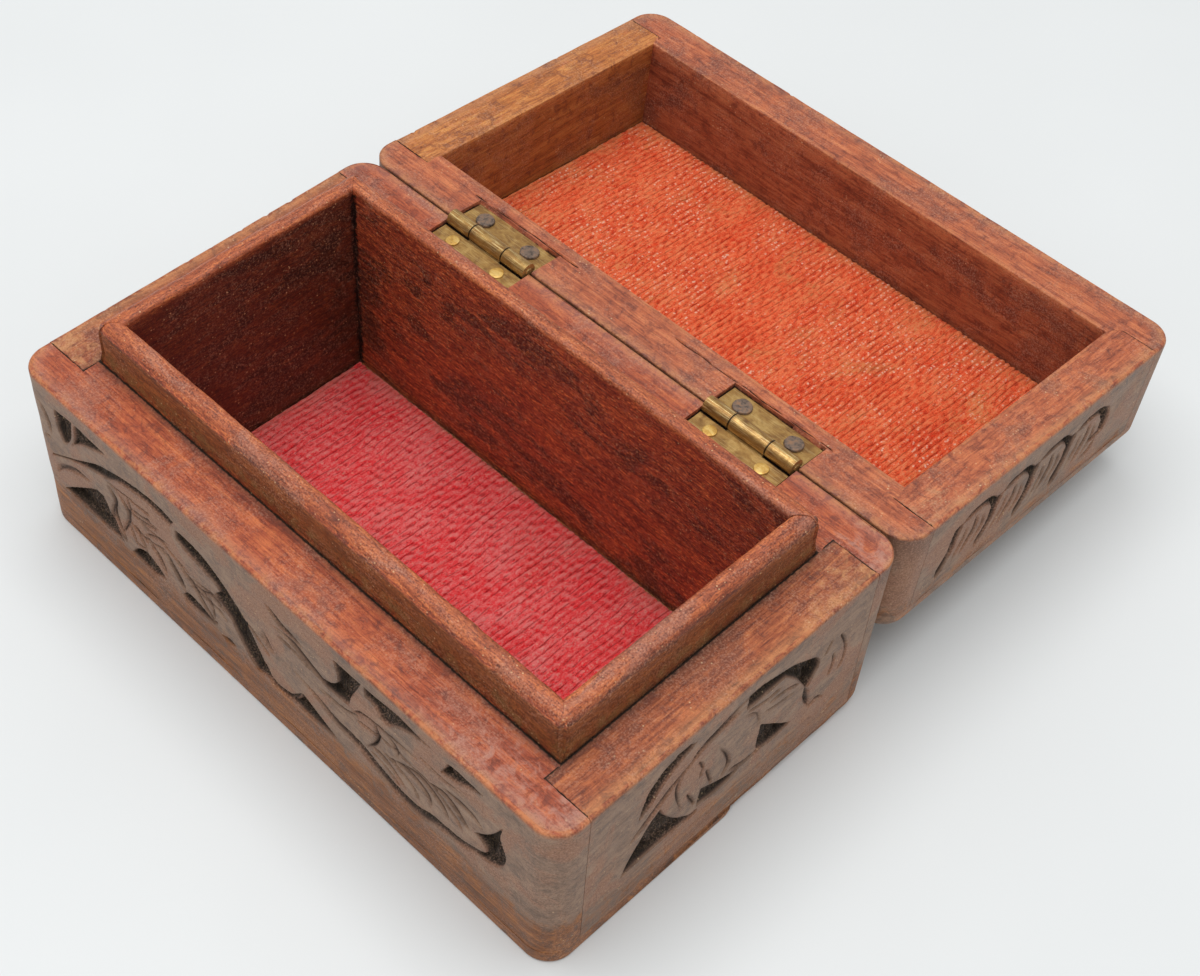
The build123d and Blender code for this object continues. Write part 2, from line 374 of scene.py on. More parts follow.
def softened(values, passes):
    """Each value of a grid averaged 1-2-1 with its neighbours, both ways, a number of times."""
    for _ in range(passes):
        for axis in (0, 1):
            edge = [(1, 1) if k == axis else (0, 0) for k in (0, 1)]
            wide = np.pad(values, edge, mode="edge")
            places = np.arange(values.shape[axis])
            before, middle, after = (np.take(wide, places + k, axis) for k in (0, 1, 2))
            values = (before + 2 * middle + after) / 4
    return values


def painted(cut, passes):
    """Paint of a carved face: how sunk each point is, and the softened dirt and painted shade that lie round
    the cuts.
    """
    return np.clip(cut / sunk_depth, 0, 1), softened(np.clip(cut / grime_and_shade_depth, 0, 1), passes)


def carved_depth(cuts, a, q):
    """Depth cut away at each point of a grid: the deepest of all the cuts there."""
    depth = np.zeros(a.shape)
    for low, high, depth_at in cuts:
        near = (a >= low[0]) & (a <= high[0]) & (q >= low[1]) & (q <= high[1])
        if near.any():
            depth[near] = np.maximum(depth[near], depth_at(a[near], q[near]))
    return depth


def broad_leaf():
    """Left part of the long sides' foliage: a broad arched leaf between its pockets."""
    return [
        # Left spandrel, in two slopes that meet at a ridge
        pocket(2.3, [(-68, 42), (-62, 42.2)], [(-63.2, 37), (-65.2, 33), (-67.3, 31.3)],
               [(-68.4, 36), (-68, 42)]),
        pocket(1.8, [(-61.2, 42.2), (-50, 41.8)], [(-56, 39), (-60, 36.8), (-64.3, 33)],
               [(-62.2, 37.5), (-61.2, 42.2)]),
        # The broad leaf's rim: arched groove, then the deep crescent with its tooth
        pocket(1.9, [(-73, 24), (-65, 28.5), (-55, 35.2), (-50, 37.3), (-45, 39), (-40, 40), (-33, 40.3),
                (-28.5, 39.6)], [(-30.5, 36.6)],
               [(-36, 37.5), (-42, 37.3), (-47, 36), (-51.5, 33.2), (-58, 31), (-66, 27), (-73, 23.2)]),
        pocket(2.9, [(-28.7, 37.3), (-25, 37.9), (-20, 37), (-15, 34), (-11, 31), (-7.5, 27.8),
                (-4.3, 22.5), (-2.2, 17.5), (-0.8, 14.3)], [(-5, 12.8)],
               [(-7.5, 14.8), (-9, 17), (-11, 20.5), (-12.6, 23.5), (-16, 25.3), (-17.3, 27.3)],
               [(-15.6, 30), (-20, 31.6), (-25, 33), (-28.7, 34.3)]),
        # Pockets under the broad leaf, left to right
        pocket(2.8, [(-71, 14), (-65, 19.2), (-60, 23.2), (-57, 25.2), (-54.8, 25.4)],
               [(-52.5, 21), (-50.8, 17), (-49, 14.5)], [(-60, 13.7), (-71, 14)]),
        pocket(2.2, [(-47, 13.5), (-44.5, 17), (-41, 18.8), (-37.5, 17.2), (-35, 14.8)],
               [(-40, 12.8), (-47, 13.5)]),
        pocket(1.9, [(-29.5, 15.5), (-27, 17.8), (-22, 17.2), (-18.3, 15)], [(-27, 13.9), (-29.5, 15.5)]),
        pocket(1.4, [(-17, 13.6), (-14, 14.7), (-11.8, 13.8)], [(-14.5, 12.4), (-17, 13.6)]),
        # Veins of the broad leaf
        vein((-52, 31.5), (-50.3, 28), (-51, 23), (-48, 16), depth=0.8),
        vein((-48, 31.5), (-46, 27), (-47, 21), depth=0.7),
        vein((-45.5, 24.8), (-42.5, 22.5), (-40.5, 18.8)),
        vein((-40, 25.5), (-36.6, 21.5), (-34.5, 16.5)),
        vein((-33.3, 25.5), (-30.7, 21), (-28.6, 17.2), depth=0.7),
        vein((-30, 26.3), (-25, 22.3), (-19, 16), (-18, 17), depth=0.6),
        vein((-26, 24.6), (-20, 25), (-14, 25), skew=-0.75),
        vein((-28, 24.2), (-22, 21.7), (-14.5, 22.8), skew=-0.6),
        vein((-52, 32.3), (-47.5, 32.7), (-43, 33.6), skew=-0.6, depth=0.7),
        vein((-46, 29.5), (-40, 30.6), (-34, 32), skew=-0.6),
        vein((-43, 27.7), (-37, 28.4), (-31, 29.8), skew=-0.6),
        # Knife lines of the broad leaf, gathered towards its tip
        *hairlines(0.8,
            [(-50.7, 26.6), (-52, 21.9), (-50.7, 17.8), (-47.9, 15.5)],
            [(-45.1, 33.1), (-45.1, 29), (-47, 22.7), (-49, 18.3)],
            [(-46, 24.6), (-43, 23.7), (-38.1, 24.5), (-33, 26.6)],
            [(-33.5, 26.7), (-30.9, 23.3), (-28.9, 19.9), (-28.3, 17.2)],
            [(-46, 23.6), (-44.7, 20.6), (-43.9, 19.2), (-41.1, 19.6)],
            [(-44.3, 25.1), (-41.4, 23.5), (-39.5, 22.7)],
            [(-40.5, 25.4), (-35.3, 28.1), (-32.2, 27.8), (-25.4, 25.3)],
            [(-38.9, 22.7), (-36.3, 22.4), (-35.2, 19.8), (-34.6, 17.1)],
            [(-35.9, 25), (-32.3, 24.7), (-30.1, 21.9), (-29.1, 18.6)],
            [(-30.1, 26.7), (-26.6, 24.1), (-22.7, 23.2), (-18.4, 24.7), (-14, 23.6)],
            [(-26, 21.5), (-21.9, 21.8), (-18.9, 20.9), (-18.5, 17)],
            [(-23, 24.5), (-17.8, 25.9), (-14.8, 25.4)], [(-24, 23.4), (-18, 22.2), (-13.5, 21)],
            [(-44.8, 29.3), (-40.6, 30.5), (-37.7, 32.1)], [(-44.7, 28.4), (-41.5, 28.7), (-35, 31)],
            [(-44.3, 33.4), (-42.2, 33.2), (-37, 34.2)], [(-12, 28), (-6, 27), (0, 22.5)]),
    ]


def curled_leaf():
    """Right part of the long sides' foliage: a curled leaf with its pockets, and the long grooves of both."""
    return [
        # Triangle, hooked groove, top pockets and the curled leaf's deep hook
        pocket(2.1, [(5, 14), (8, 16.5), (9.5, 20.2)], [(14, 18), (20.3, 14.9)], [(12, 13.6), (5, 14)]),
        pocket(2.6, [(20.3, 42.8), (21.3, 38), (21, 36), (19, 33.7), (14.3, 31.8)],
               [(17, 30.6), (21, 30.6), (24, 31)], [(25, 35), (26.3, 38), (28.3, 42.8)], [(20.3, 42.8)]),
        pocket(2.1, [(28.9, 42.8), (38, 43), (48, 42.8)], [(42, 41), (38.5, 39.2), (36, 36.8)],
               [(33.4, 36.8), (32, 39), (28.9, 39.6)]),
        pocket(2.1, [(50, 37.6), (51.3, 40.5), (53, 42.8), (61.8, 42.6)],
               [(57, 40), (54, 38.4), (50, 37.6)]),
        pocket(2.8, [(59.2, 27.5), (62, 30), (64.2, 33), (66.7, 38)],
               [(66, 33), (67.5, 28), (66.8, 24), (64.3, 21.5), (59, 19.6)],
               [(62.5, 24.3), (61.3, 26.5), (59.2, 27.5)]),
        # Long grooves
        gouge(1.9, 3.4, (7, 26), (15, 23.8), (20, 21.7), (27, 20.8), (32, 18.4), (38, 16.9), (44, 16.9),
              (48, 18.5), (55, 19.4), (60, 21.6), (63, 24), skew=-0.3),
        gouge(1.5, 2.0, (-2.4, 18.5), (-1, 15.2), (0.5, 14.2), (3.5, 14.2), (6.5, 15.6), (9.3, 19.8)),
        gouge(0.8, 1.5, (-73.8, 40.5), (-72, 36.5), (-71.6, 30.5)),
        gouge(0.7, 1.4, (-78, 28.5), (-72, 29.4)),
        gouge(0.8, 2.0, (-72.2, 18), (-70, 21.3), (-65, 24.3), (-58.5, 26.2), skew=0.5),
        gouge(0.7, 2.4, (1.5, 35.3), (8, 34.6), (14, 32), (19, 30.3), skew=0.6),
        gouge(0.9, 2.4, (0, 41), (4.5, 37.3), (11.5, 36.7), skew=0.5),
        gouge(0.7, 2.2, (-2, 30), (-0.5, 27), (1.3, 25), skew=-0.4),
        # Veins of the curled leaf
        vein((25, 30), (28, 32.6), (33, 33.6), (44, 34.4), depth=0.9, skew=-0.5),
        vein((15, 28), (22, 28.2), (27.5, 30.6), depth=0.6, skew=-0.6),
        vein((31.3, 33.3), (32.4, 30), (31.3, 26), (28.8, 22.5), depth=0.8),
        vein((35.5, 33), (37.5, 31.5), (38, 28.5), depth=0.6),
        vein((30, 24), (34, 24), (40.5, 19.8), depth=0.6, skew=0.6),
        vein((35.5, 26), (41, 27.2), (46, 25), (47.3, 21.5), depth=0.7),
        vein((37.5, 27), (44, 28.8), (50, 26.3), (52.4, 23), depth=0.7),
        vein((46.5, 29.7), (52, 30.3), (58.5, 26), depth=0.7),
        vein((49.5, 32.2), (57, 32.6), (61.5, 30.7), depth=0.6),
        vein((44, 36.4), (50, 35.6), (57, 36.4), depth=0.5, skew=-0.5),
        *hairlines(0.75,
            [(26, 28.5), (30, 29.5), (36, 30.6), (43, 30.2)],
            [(33, 26), (37.5, 25.6), (42, 23.2), (44, 20.6)],
            [(41, 29.8), (47.5, 29.6), (53.5, 27), (56, 24.4)], [(3, 33.2), (8, 32.8), (13, 31.4)],
            [(30, 22.4), (34.5, 21.4), (38.5, 19)]),
    ]


def end_foliage():
    """Leaf of the short sides: an arched stem over a fan leaf, with a comma-shaped pocket."""
    return [
        # Pockets, from the left spandrel round the arch
        pocket(2.6, [(-26.3, 30.5), (-25, 36), (-24, 39.3), (-20, 42), (-15, 43.4), (-11.5, 42.3)],
               [(-16, 39.8), (-20, 37), (-22.7, 33)], [(-26.3, 30.5)]),
        pocket(2.8, [(3, 42.2), (8, 42), (15, 40), (20, 37.3), (24, 34.6), (25.3, 31), (24, 28)],
               [(22.4, 26), (20.8, 28.5), (18, 33), (14.4, 37.3)], [(8, 37.4), (2.7, 37.8)], [(3, 42.2)]),
        pocket(2.5, [(-29.7, 14), (-27, 20), (-23, 25.4), (-20, 28.2)],
               [(-18.6, 24.5), (-15.3, 19.7), (-12, 16.6), (-9.3, 13.9)], [(-20, 14.6), (-29.7, 14)]),
        pocket(1.9, [(-8.3, 22.2), (-3, 19.5), (1, 17.9), (3.8, 17.6)],
               [(2, 15.9), (-3, 15.3), (-8.6, 15.9)], [(-8.3, 22.2)]),
        pocket(2.4, [(8.5, 27.3), (12, 23.8), (16, 20), (19.4, 17.1)], [(13, 16.2), (8.7, 17.6)],
               [(8.2, 22), (8.5, 27.3)]),
        # Stem, the comma's tail and the outlying leaf
        gouge(1.1, 2.4, (-28.5, 24.5), (-22, 29.8), (-14, 35.8), skew=-0.4),
        gouge(1.1, 2.4, (-12.3, 37.2), (-5, 40.2), (3, 42), skew=-0.4),
        gouge(1.2, 2.0, (21.8, 27.2), (23, 22), (25, 16.8)),
        gouge(0.9, 1.4, (24.6, 16.4), (26.9, 17.4), (29.8, 15.6)),
        # Line under the stem, the thin links between the pockets, and the veins of the fan
        gouge(0.9, 1.5, (4, 39.4), (-2.3, 39.3), (-7, 38.2), (-12.9, 35.6), (-18.4, 31.2), (-21, 28.6)),
        gouge(0.9, 1.4, (10.5, 17.2), (5.2, 17.6), (0.5, 19.4), blunt=True),
        gouge(1.2, 1.8, (-13.5, 16.3), (-10.6, 14.3), (-8, 14.2), blunt=True),
        vein((-14.4, 35.1), (-15.4, 29), (-13.7, 20.7), depth=0.6, skew=-0.6),
        vein((-4, 32.2), (-0.9, 26), (0, 22), (-2.2, 19.6), depth=0.6, skew=-0.6),
        vein((2, 36.5), (6.5, 33), (8, 28), depth=0.4, skew=-0.6),
        vein((18.3, 28.3), (13.4, 29.4), (8.2, 31.2), depth=0.45, skew=0.6),
        *hairlines(0.8,
            [(-7.2, 28), (-5, 21)], [(-12.2, 24.5), (-9.4, 18)], [(13.4, 34.8), (8.8, 35.2), (3, 37)],
            [(19.5, 30), (15, 32.2), (10, 33)], [(31, 36), (33.3, 30.8), (33.8, 25.8), (32.4, 22.4)],
            [(28.3, 36.4), (26.6, 33)], [(29.6, 31), (30.4, 27), (29.6, 23)],
            [(-10, 33.5), (-8.5, 30.4), (-8.8, 27)]),
    ]


def petal(start):
    """One arched petal of the lid's border, begun at its left foot; q is minus the distance from the rim."""
    def at(*points):
        return [(start + a, q) for a, q in points]
    return [
        pocket(2.1, at((0, -9), (2.5, -6.3), (6, -5.2), (10.5, -5.6), (13.6, -8)),
               at((11, -7.6), (6.5, -7), (3.3, -8.6), (1.8, -11)), at((0, -9))),
        gouge(1.9, 2.7, *at((13.3, -7.4), (14.1, -11), (14.6, -15), (17.4, -21.5)), skew=0.3, blunt=True),
        vein(*at((7.6, -8.5), (7, -13), (10, -19.5)), depth=0.7),
        vein(*at((4.8, -10), (4.2, -14), (6.6, -19)), depth=0.4),
        vein(*at((10.4, -10), (10.2, -14), (12.8, -19.5)), depth=0.4),
    ]


def petal_border(count, start):
    """Row of arched petals with the hook that opens it."""
    hook = [
        gouge(2.0, 3.2, (start + 2.5, -7), (start, -10.5), (start, -15), skew=0.3, blunt=True),
        gouge(1.6, 1.9, (start - 0.8, -15), (start + 2, -15.2), (start + 5, -16)),
        vein((start + 2, -16.5), (start + 3.2, -19.5), (start + 6.5, -20.3), depth=0.6, skew=0.3),
    ]
    return hook + [cut for i in range(count) for cut in petal(start + petal_pitch * i)]


def top_panel_foliage():
    """The long sides' foliage laid twice on the lid's top, turned half round about its middle."""
    off_middle = 10
    share = 0.8
    cuts = []
    for low, high, depth_at in broad_leaf() + curled_leaf():
        def above(a, q, depth_at=depth_at):
            return share * depth_at(a, q + off_middle)

        def below(a, q, depth_at=depth_at):
            return share * depth_at(-a, off_middle - q)
        shift = np.array([0, off_middle])
        cuts.append((low - shift, high - shift, above))
        cuts.append((shift - high, shift - low, below))
    return cuts


# Meshes

def shown(name, data):
    """New object of the scene that holds a mesh, a lamp or a camera."""
    thing = bpy.data.objects.new(name, data)
    bpy.context.scene.collection.objects.link(thing)
    return thing


def piece(name, points, faces, layers, material, body, nodes, slot, crease=wood_crease):
    """Puts points in millimetres into a mesh in metres with its painted layers, and hangs it on a body."""
    if body == "lid":
        points = turned(points, -opening)
    mesh = bpy.data.meshes.new(name)
    mesh.from_pydata((points * mm).tolist(), [], faces)
    for layer, values in layers.items():
        store = mesh.attributes.new(layer, "FLOAT", "POINT")
        store.data.foreach_set("value", np.ascontiguousarray(values, dtype=np.float32).ravel())
    mesh.shade_smooth()
    mesh.set_sharp_from_angle(angle=math.radians(crease))
    mesh.materials.append(material)
    thing = shown(name, mesh)
    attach(thing, body)
    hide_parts(*nodes)
    return thing


def swept_faces(rings):
    """Quads between neighbouring closed rings and one polygon on each end, all facing outwards."""
    count, size = rings.shape[:2]
    i = np.arange(count - 1)[:, None] * size
    j = np.arange(size)[None, :]
    after = (j + 1) % size
    quads = np.stack([i + j, i + size + j, i + size + after, i + after], -1).reshape(-1, 4)
    flat = rings.reshape(-1, 3)
    a, b, c, d = (flat[quads[:, k]] for k in range(4))
    volume = np.einsum("ij,ij->i", a, np.cross(b, c) + np.cross(c, d)).sum()
    first = np.arange(size)
    last = (count - 1) * size + np.arange(size)
    for cap in (first, last[::-1]):
        corner = flat[cap]
        spread = np.broadcast_to(corner[0], corner[1:-1].shape)
        volume += np.einsum("ij,ij->i", spread, np.cross(corner[1:-1], corner[2:])).sum()
    faces = quads.tolist() + [first.tolist(), last[::-1].tolist()]
    if volume < 0:
        faces = [face[::-1] for face in faces]
    return faces


def swept(name, rings, layers, *rest):
    """Closed solid through rings of points, shape (rings, points of a ring, 3)."""
    return piece(name, rings.reshape(-1, 3), swept_faces(rings), layers, *rest)


def column(*parts):
    """Points side by side in each ring: values of any shape, brought to the same shape and stacked."""
    return np.stack(np.broadcast_arrays(*parts), -1)


def with_corners(first, middle, last):
    """Values of a first corner, the flat part and a last corner, which is given in the order of the first."""
    return np.concatenate([first, middle, last[::-1]])


# Carved walls

class Wall:
    """One carved wall of the base or the lid, in its own frame: a along it, d inwards, v away from the rim.

    It is a closed solid swept through rings, one for each place along the wall: up the outer face with the
    carving pushed in, over the rim and down the inner face.
    """

    def __init__(self, name, side, carcass, seed):
        low, high = limits(name)
        self.name = name
        self.side = side
        self.carcass = carcass
        self.seed = seed
        self.long = side in ("front", "back")
        self.at_hinge = side == "back"
        self.in_lid = carcass["upwards"] > 0
        self.reach = abs((high[2] if self.in_lid else low[2]) - carcass["rim"])
        if self.long:
            self.thickness = high[1] - low[1] if side == "front" else carcass["half_depth"] - low[1]
            self.end = carcass["half_length"] - corner_radius
            self.plan_long_wall()
        else:
            self.thickness = high[0] - low[0]
            self.end = high[1] - joint_gap
            self.plan_end_wall()
        nowhere = np.zeros(len(self.outer_a), bool)
        self.seated = carcass["in_mortise"](self.outer_a) if self.at_hinge else nowhere

    def plan_end_wall(self):
        """Plan of a straight wall: outer and inner face along a, and the outer face cut straight in."""
        self.outer_a = np.linspace(-self.end, self.end, round(2 * self.end / carving_pitch) + 1)
        self.outer_d = self.push_a = self.leaning = 0 * self.outer_a
        self.push_d = 1 + self.outer_d
        self.inner_a = self.outer_a
        self.inner_d = self.thickness + self.outer_d

    def plan_long_wall(self):
        """Plan of a wall that turns both corners.

        Each corner is a short cheek, on which an end board butts, and then a quarter circle, cut along its
        radius. The hinge side leans from the corners on.
        """
        end = self.end
        half = self.carcass["half_length"]
        cheek = self.carcass["cheek"] - joint_gap
        inner_end = self.carcass["inner_end"] + joint_gap
        angle = np.linspace(0, math.pi / 2, corner_steps)
        edges = self.carcass["mortise_edges"] if self.at_hinge else np.zeros(0)
        flat = np.linspace(-end, end, round(2 * end / carving_pitch) + 1)[1:-1]
        flat = np.sort(np.concatenate([flat, edges - 0.01, edges + 0.01]))
        straight = 0 * flat
        corner_a = np.concatenate([np.full(cheek_steps, -half), -half + corner_radius * (1 - np.cos(angle))])
        corner_d = np.linspace(cheek, corner_radius, cheek_steps + 1)[:-1]
        corner_d = np.concatenate([corner_d, corner_radius * (1 - np.sin(angle))])
        push_a = np.concatenate([np.ones(cheek_steps), np.cos(angle)])
        push_d = np.concatenate([np.zeros(cheek_steps), np.sin(angle)])
        fan = np.linspace(cheek, self.thickness, len(corner_a))
        self.outer_a = with_corners(corner_a, flat, -corner_a)
        self.outer_d = with_corners(corner_d, straight, corner_d)
        self.push_a = with_corners(push_a, straight, -push_a)
        self.push_d = with_corners(push_d, 1 + straight, push_d)
        self.inner_d = with_corners(fan, self.thickness + straight, fan)
        bend = end - fan_length
        self.inner_a = np.interp(self.outer_a, [-end, -bend, bend, end], [-inner_end, -bend, bend, inner_end])
        on_corner = np.abs(self.outer_a) >= end - 1e-6
        self.inner_a = np.where(on_corner, np.sign(self.outer_a) * inner_end, self.inner_a)
        last = len(self.outer_a) - 1
        lean_stops = [0, cheek_steps, last - cheek_steps, last]
        self.leaning = self.at_hinge * np.interp(np.arange(last + 1), lean_stops, [0, 1, 1, 0])

    def worn_arris(self):
        """Size of the worn arris, which wanders along the wall and is chipped here and there."""
        chips = smooth(wobble(self.outer_a, 0, 3.5, self.seed + 1) - 1.3)
        worn = arris * (1.05 + 0.15 * wobble(self.outer_a, 0, 16, self.seed) + 0.7 * chips)
        if self.at_hinge:
            worn = hinge_side_wear * worn
        least = arris + 0.05 if self.in_lid and self.side == "front" else least_wear
        return np.clip(worn, least, most_wear)[:, None]

    def outer_face(self, cuts, carving_span):
        """Column of the outer face, from its foot to the rim or to a mortise's floor.

        Inwards: carved depth + quarter round of the arris + slight unevenness + slope of the hinge side.
        """
        v = levels_down(self.reach, *carving_span)[None, :]
        half_depth = np.array(self.carcass["half_depth"])
        floor = np.where(self.seated, self.carcass["mortise_depth"](half_depth), 0)[:, None]
        self.across = floor + v * (1 - floor / self.reach)
        a = np.broadcast_to(self.outer_a[:, None], self.across.shape)
        half = self.carcass["half_length"]
        scale = 2 * half / pattern_length
        q = -self.across if self.in_lid else self.carcass["rim"] - self.across
        on_flat = self.push_d[:, None] > 0.999
        self.cut = np.where(on_flat, carved_depth(cuts, a / scale, q / scale), 0)
        uneven = face_unevenness * (1 + wobble(a, self.across, face_wave, self.seed + 2))
        uneven = uneven * smooth(self.across / 3)
        to_end = (half - np.abs(a)) / 6 if self.long else (self.end - np.abs(a)) / 5
        uneven = np.clip(uneven, 0, 0.24) * smooth(to_end)
        rounding = np.where(self.seated[:, None], 0, fall(v, self.worn_arris()))
        inward = self.cut + rounding + uneven
        lean = self.leaning[:, None] * self.across * lean_slope
        d = self.outer_d[:, None] + self.push_d[:, None] * inward + lean
        return column(a + self.push_a[:, None] * inward, d, self.across)[:, ::-1]

    def rim(self, first, scribes):
        """Rows across the rim, from the outer face's first points to the inner edge.

        The mortises and the marking lines are let in; a marking line is a V groove from one place to another.
        """
        rows = np.linspace(0.03, 0.96, 15)
        if self.at_hinge:
            stop = self.carcass["mortise_reach"] / self.thickness
            marking = scribe_line + scribe_width * np.array([-1.0, -0.5, 0.0, 0.5, 1.0])
            near_edge = [0.005, 0.07, 0.11, stop - 0.001, stop + 0.001]
            rows = np.sort(np.concatenate([rows, near_edge, marking / self.thickness]))
        self.rows = rows
        a = first[:, 0:1] + rows * (self.inner_a[:, None] - first[:, 0:1])
        d = first[:, 1:2] + rows * (self.inner_d[:, None] - first[:, 1:2])
        drop = rim_unevenness * (1 + wobble(a, d, rim_wave, self.seed + 3))
        drop = np.clip(drop, 0, 0.14) * smooth((1 - rows) * 6)
        if self.at_hinge:
            sunk = self.seated[:, None] & (d < self.carcass["mortise_reach"])
            drop = np.where(sunk, self.carcass["mortise_depth"](self.carcass["half_depth"] - d), drop)
        for start, end in scribes:
            line = scribe_line + 0.12 * wobble(a, 0, 8, self.seed + 5)
            groove = np.clip(1 - np.abs(d - line) / scribe_width, 0, 1)
            groove = groove * smooth((a - start) / 3) * smooth((end - a) / 3)
            lively = np.clip(0.9 + 0.3 * wobble(a, 0, 7, self.seed + 6), 0.4, 1)
            drop = np.maximum(drop, groove * scribe_depth * lively)
        self.drop = drop
        return column(a, d, drop)

    def inner_face(self):
        """Column of the inner face, with a small rounding at the rim."""
        over_edge = inner_arris * np.array([0.12, 0.45, 1.0])
        self.down = np.concatenate([over_edge, np.linspace(1.2, self.reach, 9)])
        straight = np.abs(self.inner_d - self.thickness) < 1e-6
        d = self.inner_d[:, None] - fall(self.down, inner_arris) * straight[:, None]
        return column(self.inner_a[:, None], d, self.down)

    def paint(self, outer=0, rim=0, inner=0):
        """One layer for every point, from its values on the outer face, on the rim and on the inner face."""
        count = len(self.outer_a)
        outer = np.broadcast_to(outer, self.across.shape)[:, ::-1]
        rim = np.broadcast_to(rim, self.drop.shape)
        inner = np.broadcast_to(inner, (count, len(self.down)))
        return np.concatenate([outer, rim, inner], 1)

    def layers(self, rim_a, dust):
        """Painted layers, each with its values from 0 to 1.

        They are the depth of the cut, dirt and painted shade round the cuts, dirt at the liner's foot,
        painted shade down the hinge side, black cracks with painted shade in the hinge side's gap, outer
        face, rubbed edges, the warm border away from the rim, dust on the rim, painted shade down the inside
        face, and the rim's outer edge.
        """
        across, down = self.across, self.down
        foot = self.carcass["rim"]
        from_inside = (1 - self.rows) * self.thickness
        sunk, grime_and_shade = painted(self.cut, grime_and_shade_passes)
        rim_grime = hinge_seam_shade = inner_crack = 0
        rim_crack = np.clip(self.drop / 0.35 - 0.5, 0, 1)
        rim_rubbed = bell(self.rows * self.thickness, 1.3)
        if self.at_hinge:
            # Painted shade of the narrow gap between the hinge sides of base and lid: on the edge and down
            # the outer face
            off_corner = smooth((self.end - np.abs(self.outer_a)) / 3)[:, None]
            hinge_seam_shade = 0.42 * off_corner * smooth((across - 0.1) / 0.5) * (1 - smooth(across / seam_shade_reach))
            grime_and_shade = grime_and_shade + 0.7 * (1 - smooth(across / hinge_side_shade_reach))
        if not self.long:
            in_joint = bell(self.end - np.abs(self.outer_a), joint_dirt)[:, None]
            rim_crack = np.maximum(rim_crack, 0.8 * in_joint)
        if self.in_lid:
            rim_rubbed = rim_rubbed + 0.7 * bell(from_inside, 1)
            border = 0.6 * smooth((across - self.reach + 6) / 6)
        else:
            rim_crack = np.maximum(rim_crack, dirt_line(from_inside, 1.9))
            rim_grime = 0.9 * bell(from_inside, 1.6)
            inner_crack = bell(down, 1.5)
            border = (1 if self.long else 0.5) * smooth((across - (foot - border_level)) / border_fade)
        return {
            "sunk": self.paint(sunk),
            "grime_and_shade": self.paint(grime_and_shade, rim_grime),
            "crack": self.paint(hinge_seam_shade, rim_crack, inner_crack),
            "face": self.paint(smooth(across / 1.1)),
            "rubbed": self.paint(bell(across, 0.9), rim_rubbed, 0.6 * bell(down, 1.2)),
            "border": self.paint(border),
            "dust": self.paint(0, smooth((rim_a - dust[0]) / (dust[1] - dust[0])) * (1 - 0.5 * self.rows)),
            # Painted shade, darker further down the inside face
            "inside_shade": self.paint(0, 0, smooth(down / 3)),
            "edge": self.paint(0, np.clip(1 - 2.5 * self.rows, 0, 1)),
        }

    def build(self, cuts, material, scribes=(), dust=no_dust):
        """The finished wall, in its place on the base or the lid.

        Scribes are marking lines, each from one place to another along the rim. Dust thickens on the rim
        between two places.
        """
        outer = self.outer_face(cuts, lid_carving if self.in_lid else base_carving)
        rim = self.rim(outer[:, -1], scribes)
        a, d, v = np.moveaxis(np.concatenate([outer, rim, self.inner_face()], 1), -1, 0)
        half, depth = self.carcass["half_length"], self.carcass["half_depth"]
        z = self.carcass["rim"] + self.carcass["upwards"] * v
        placed = {
            "front": (a, d - depth, z),
            "back": (-a, depth - d, z),
            "right": (half - d, a, z),
            "left": (d - half, -a, z),
        }[self.side]
        body = "lid" if self.in_lid else "base"
        layers = self.layers(rim[..., 0], dust)
        swept(self.name + "_carved", column(*placed), layers, material, body, [self.name], "sheesham_wood")


def levels_down(reach, dense_from, dense_to):
    """Distances from the rim to the far edge, close together over the arris and over the carving."""
    over_arris = arris * (1 - np.cos(np.linspace(0, math.pi / 2, 6)))
    upper = np.arange(arris + plain_pitch, dense_from, plain_pitch)
    middle = np.arange(max(dense_from, arris + plain_pitch), dense_to, carving_pitch)
    lower = np.linspace(dense_to, reach, max(2, round((reach - dense_to) / plain_pitch) + 1))
    return np.concatenate([over_arris, upper, middle, lower])


# Bottom board and top panel

def inside_outline(x, y, half, y_low, y_high, radius):
    """Distance inwards from a rounded rectangle's outline."""
    px = np.abs(x) - (half - radius)
    middle = (y_low + y_high) / 2
    py = np.abs(y - middle) - ((y_high - y_low) / 2 - radius)
    away = np.hypot(np.maximum(px, 0), np.maximum(py, 0)) + np.minimum(np.maximum(px, py), 0)
    return radius - away


def slab_plan(half, y_low, y_high, rounding, pitch):
    """Places on a board with rounded corners: x along it, and for each x the y values from edge to edge."""
    flat_end = half - corner_radius
    bend = flat_end + corner_radius * np.sin(np.linspace(0, math.pi / 2, 22))[1:]
    flat = np.linspace(-flat_end, flat_end, round(2 * flat_end / pitch) + 1)
    x = np.concatenate([-bend[::-1], flat, bend])
    tuck = fall(corner_radius - np.maximum(np.abs(x) - flat_end, 0), corner_radius)
    depth = y_high - y_low
    near_edge = rounding * (1 - np.cos(np.linspace(0, math.pi / 2, 8)))
    inner = np.linspace(rounding, depth - rounding, round(depth / pitch))[1:-1]
    across = np.concatenate([near_edge, inner, depth - near_edge[::-1]]) / depth
    start, end = y_low + tuck, y_high - tuck
    return x[:, None], start[:, None] + across * (end - start)[:, None]


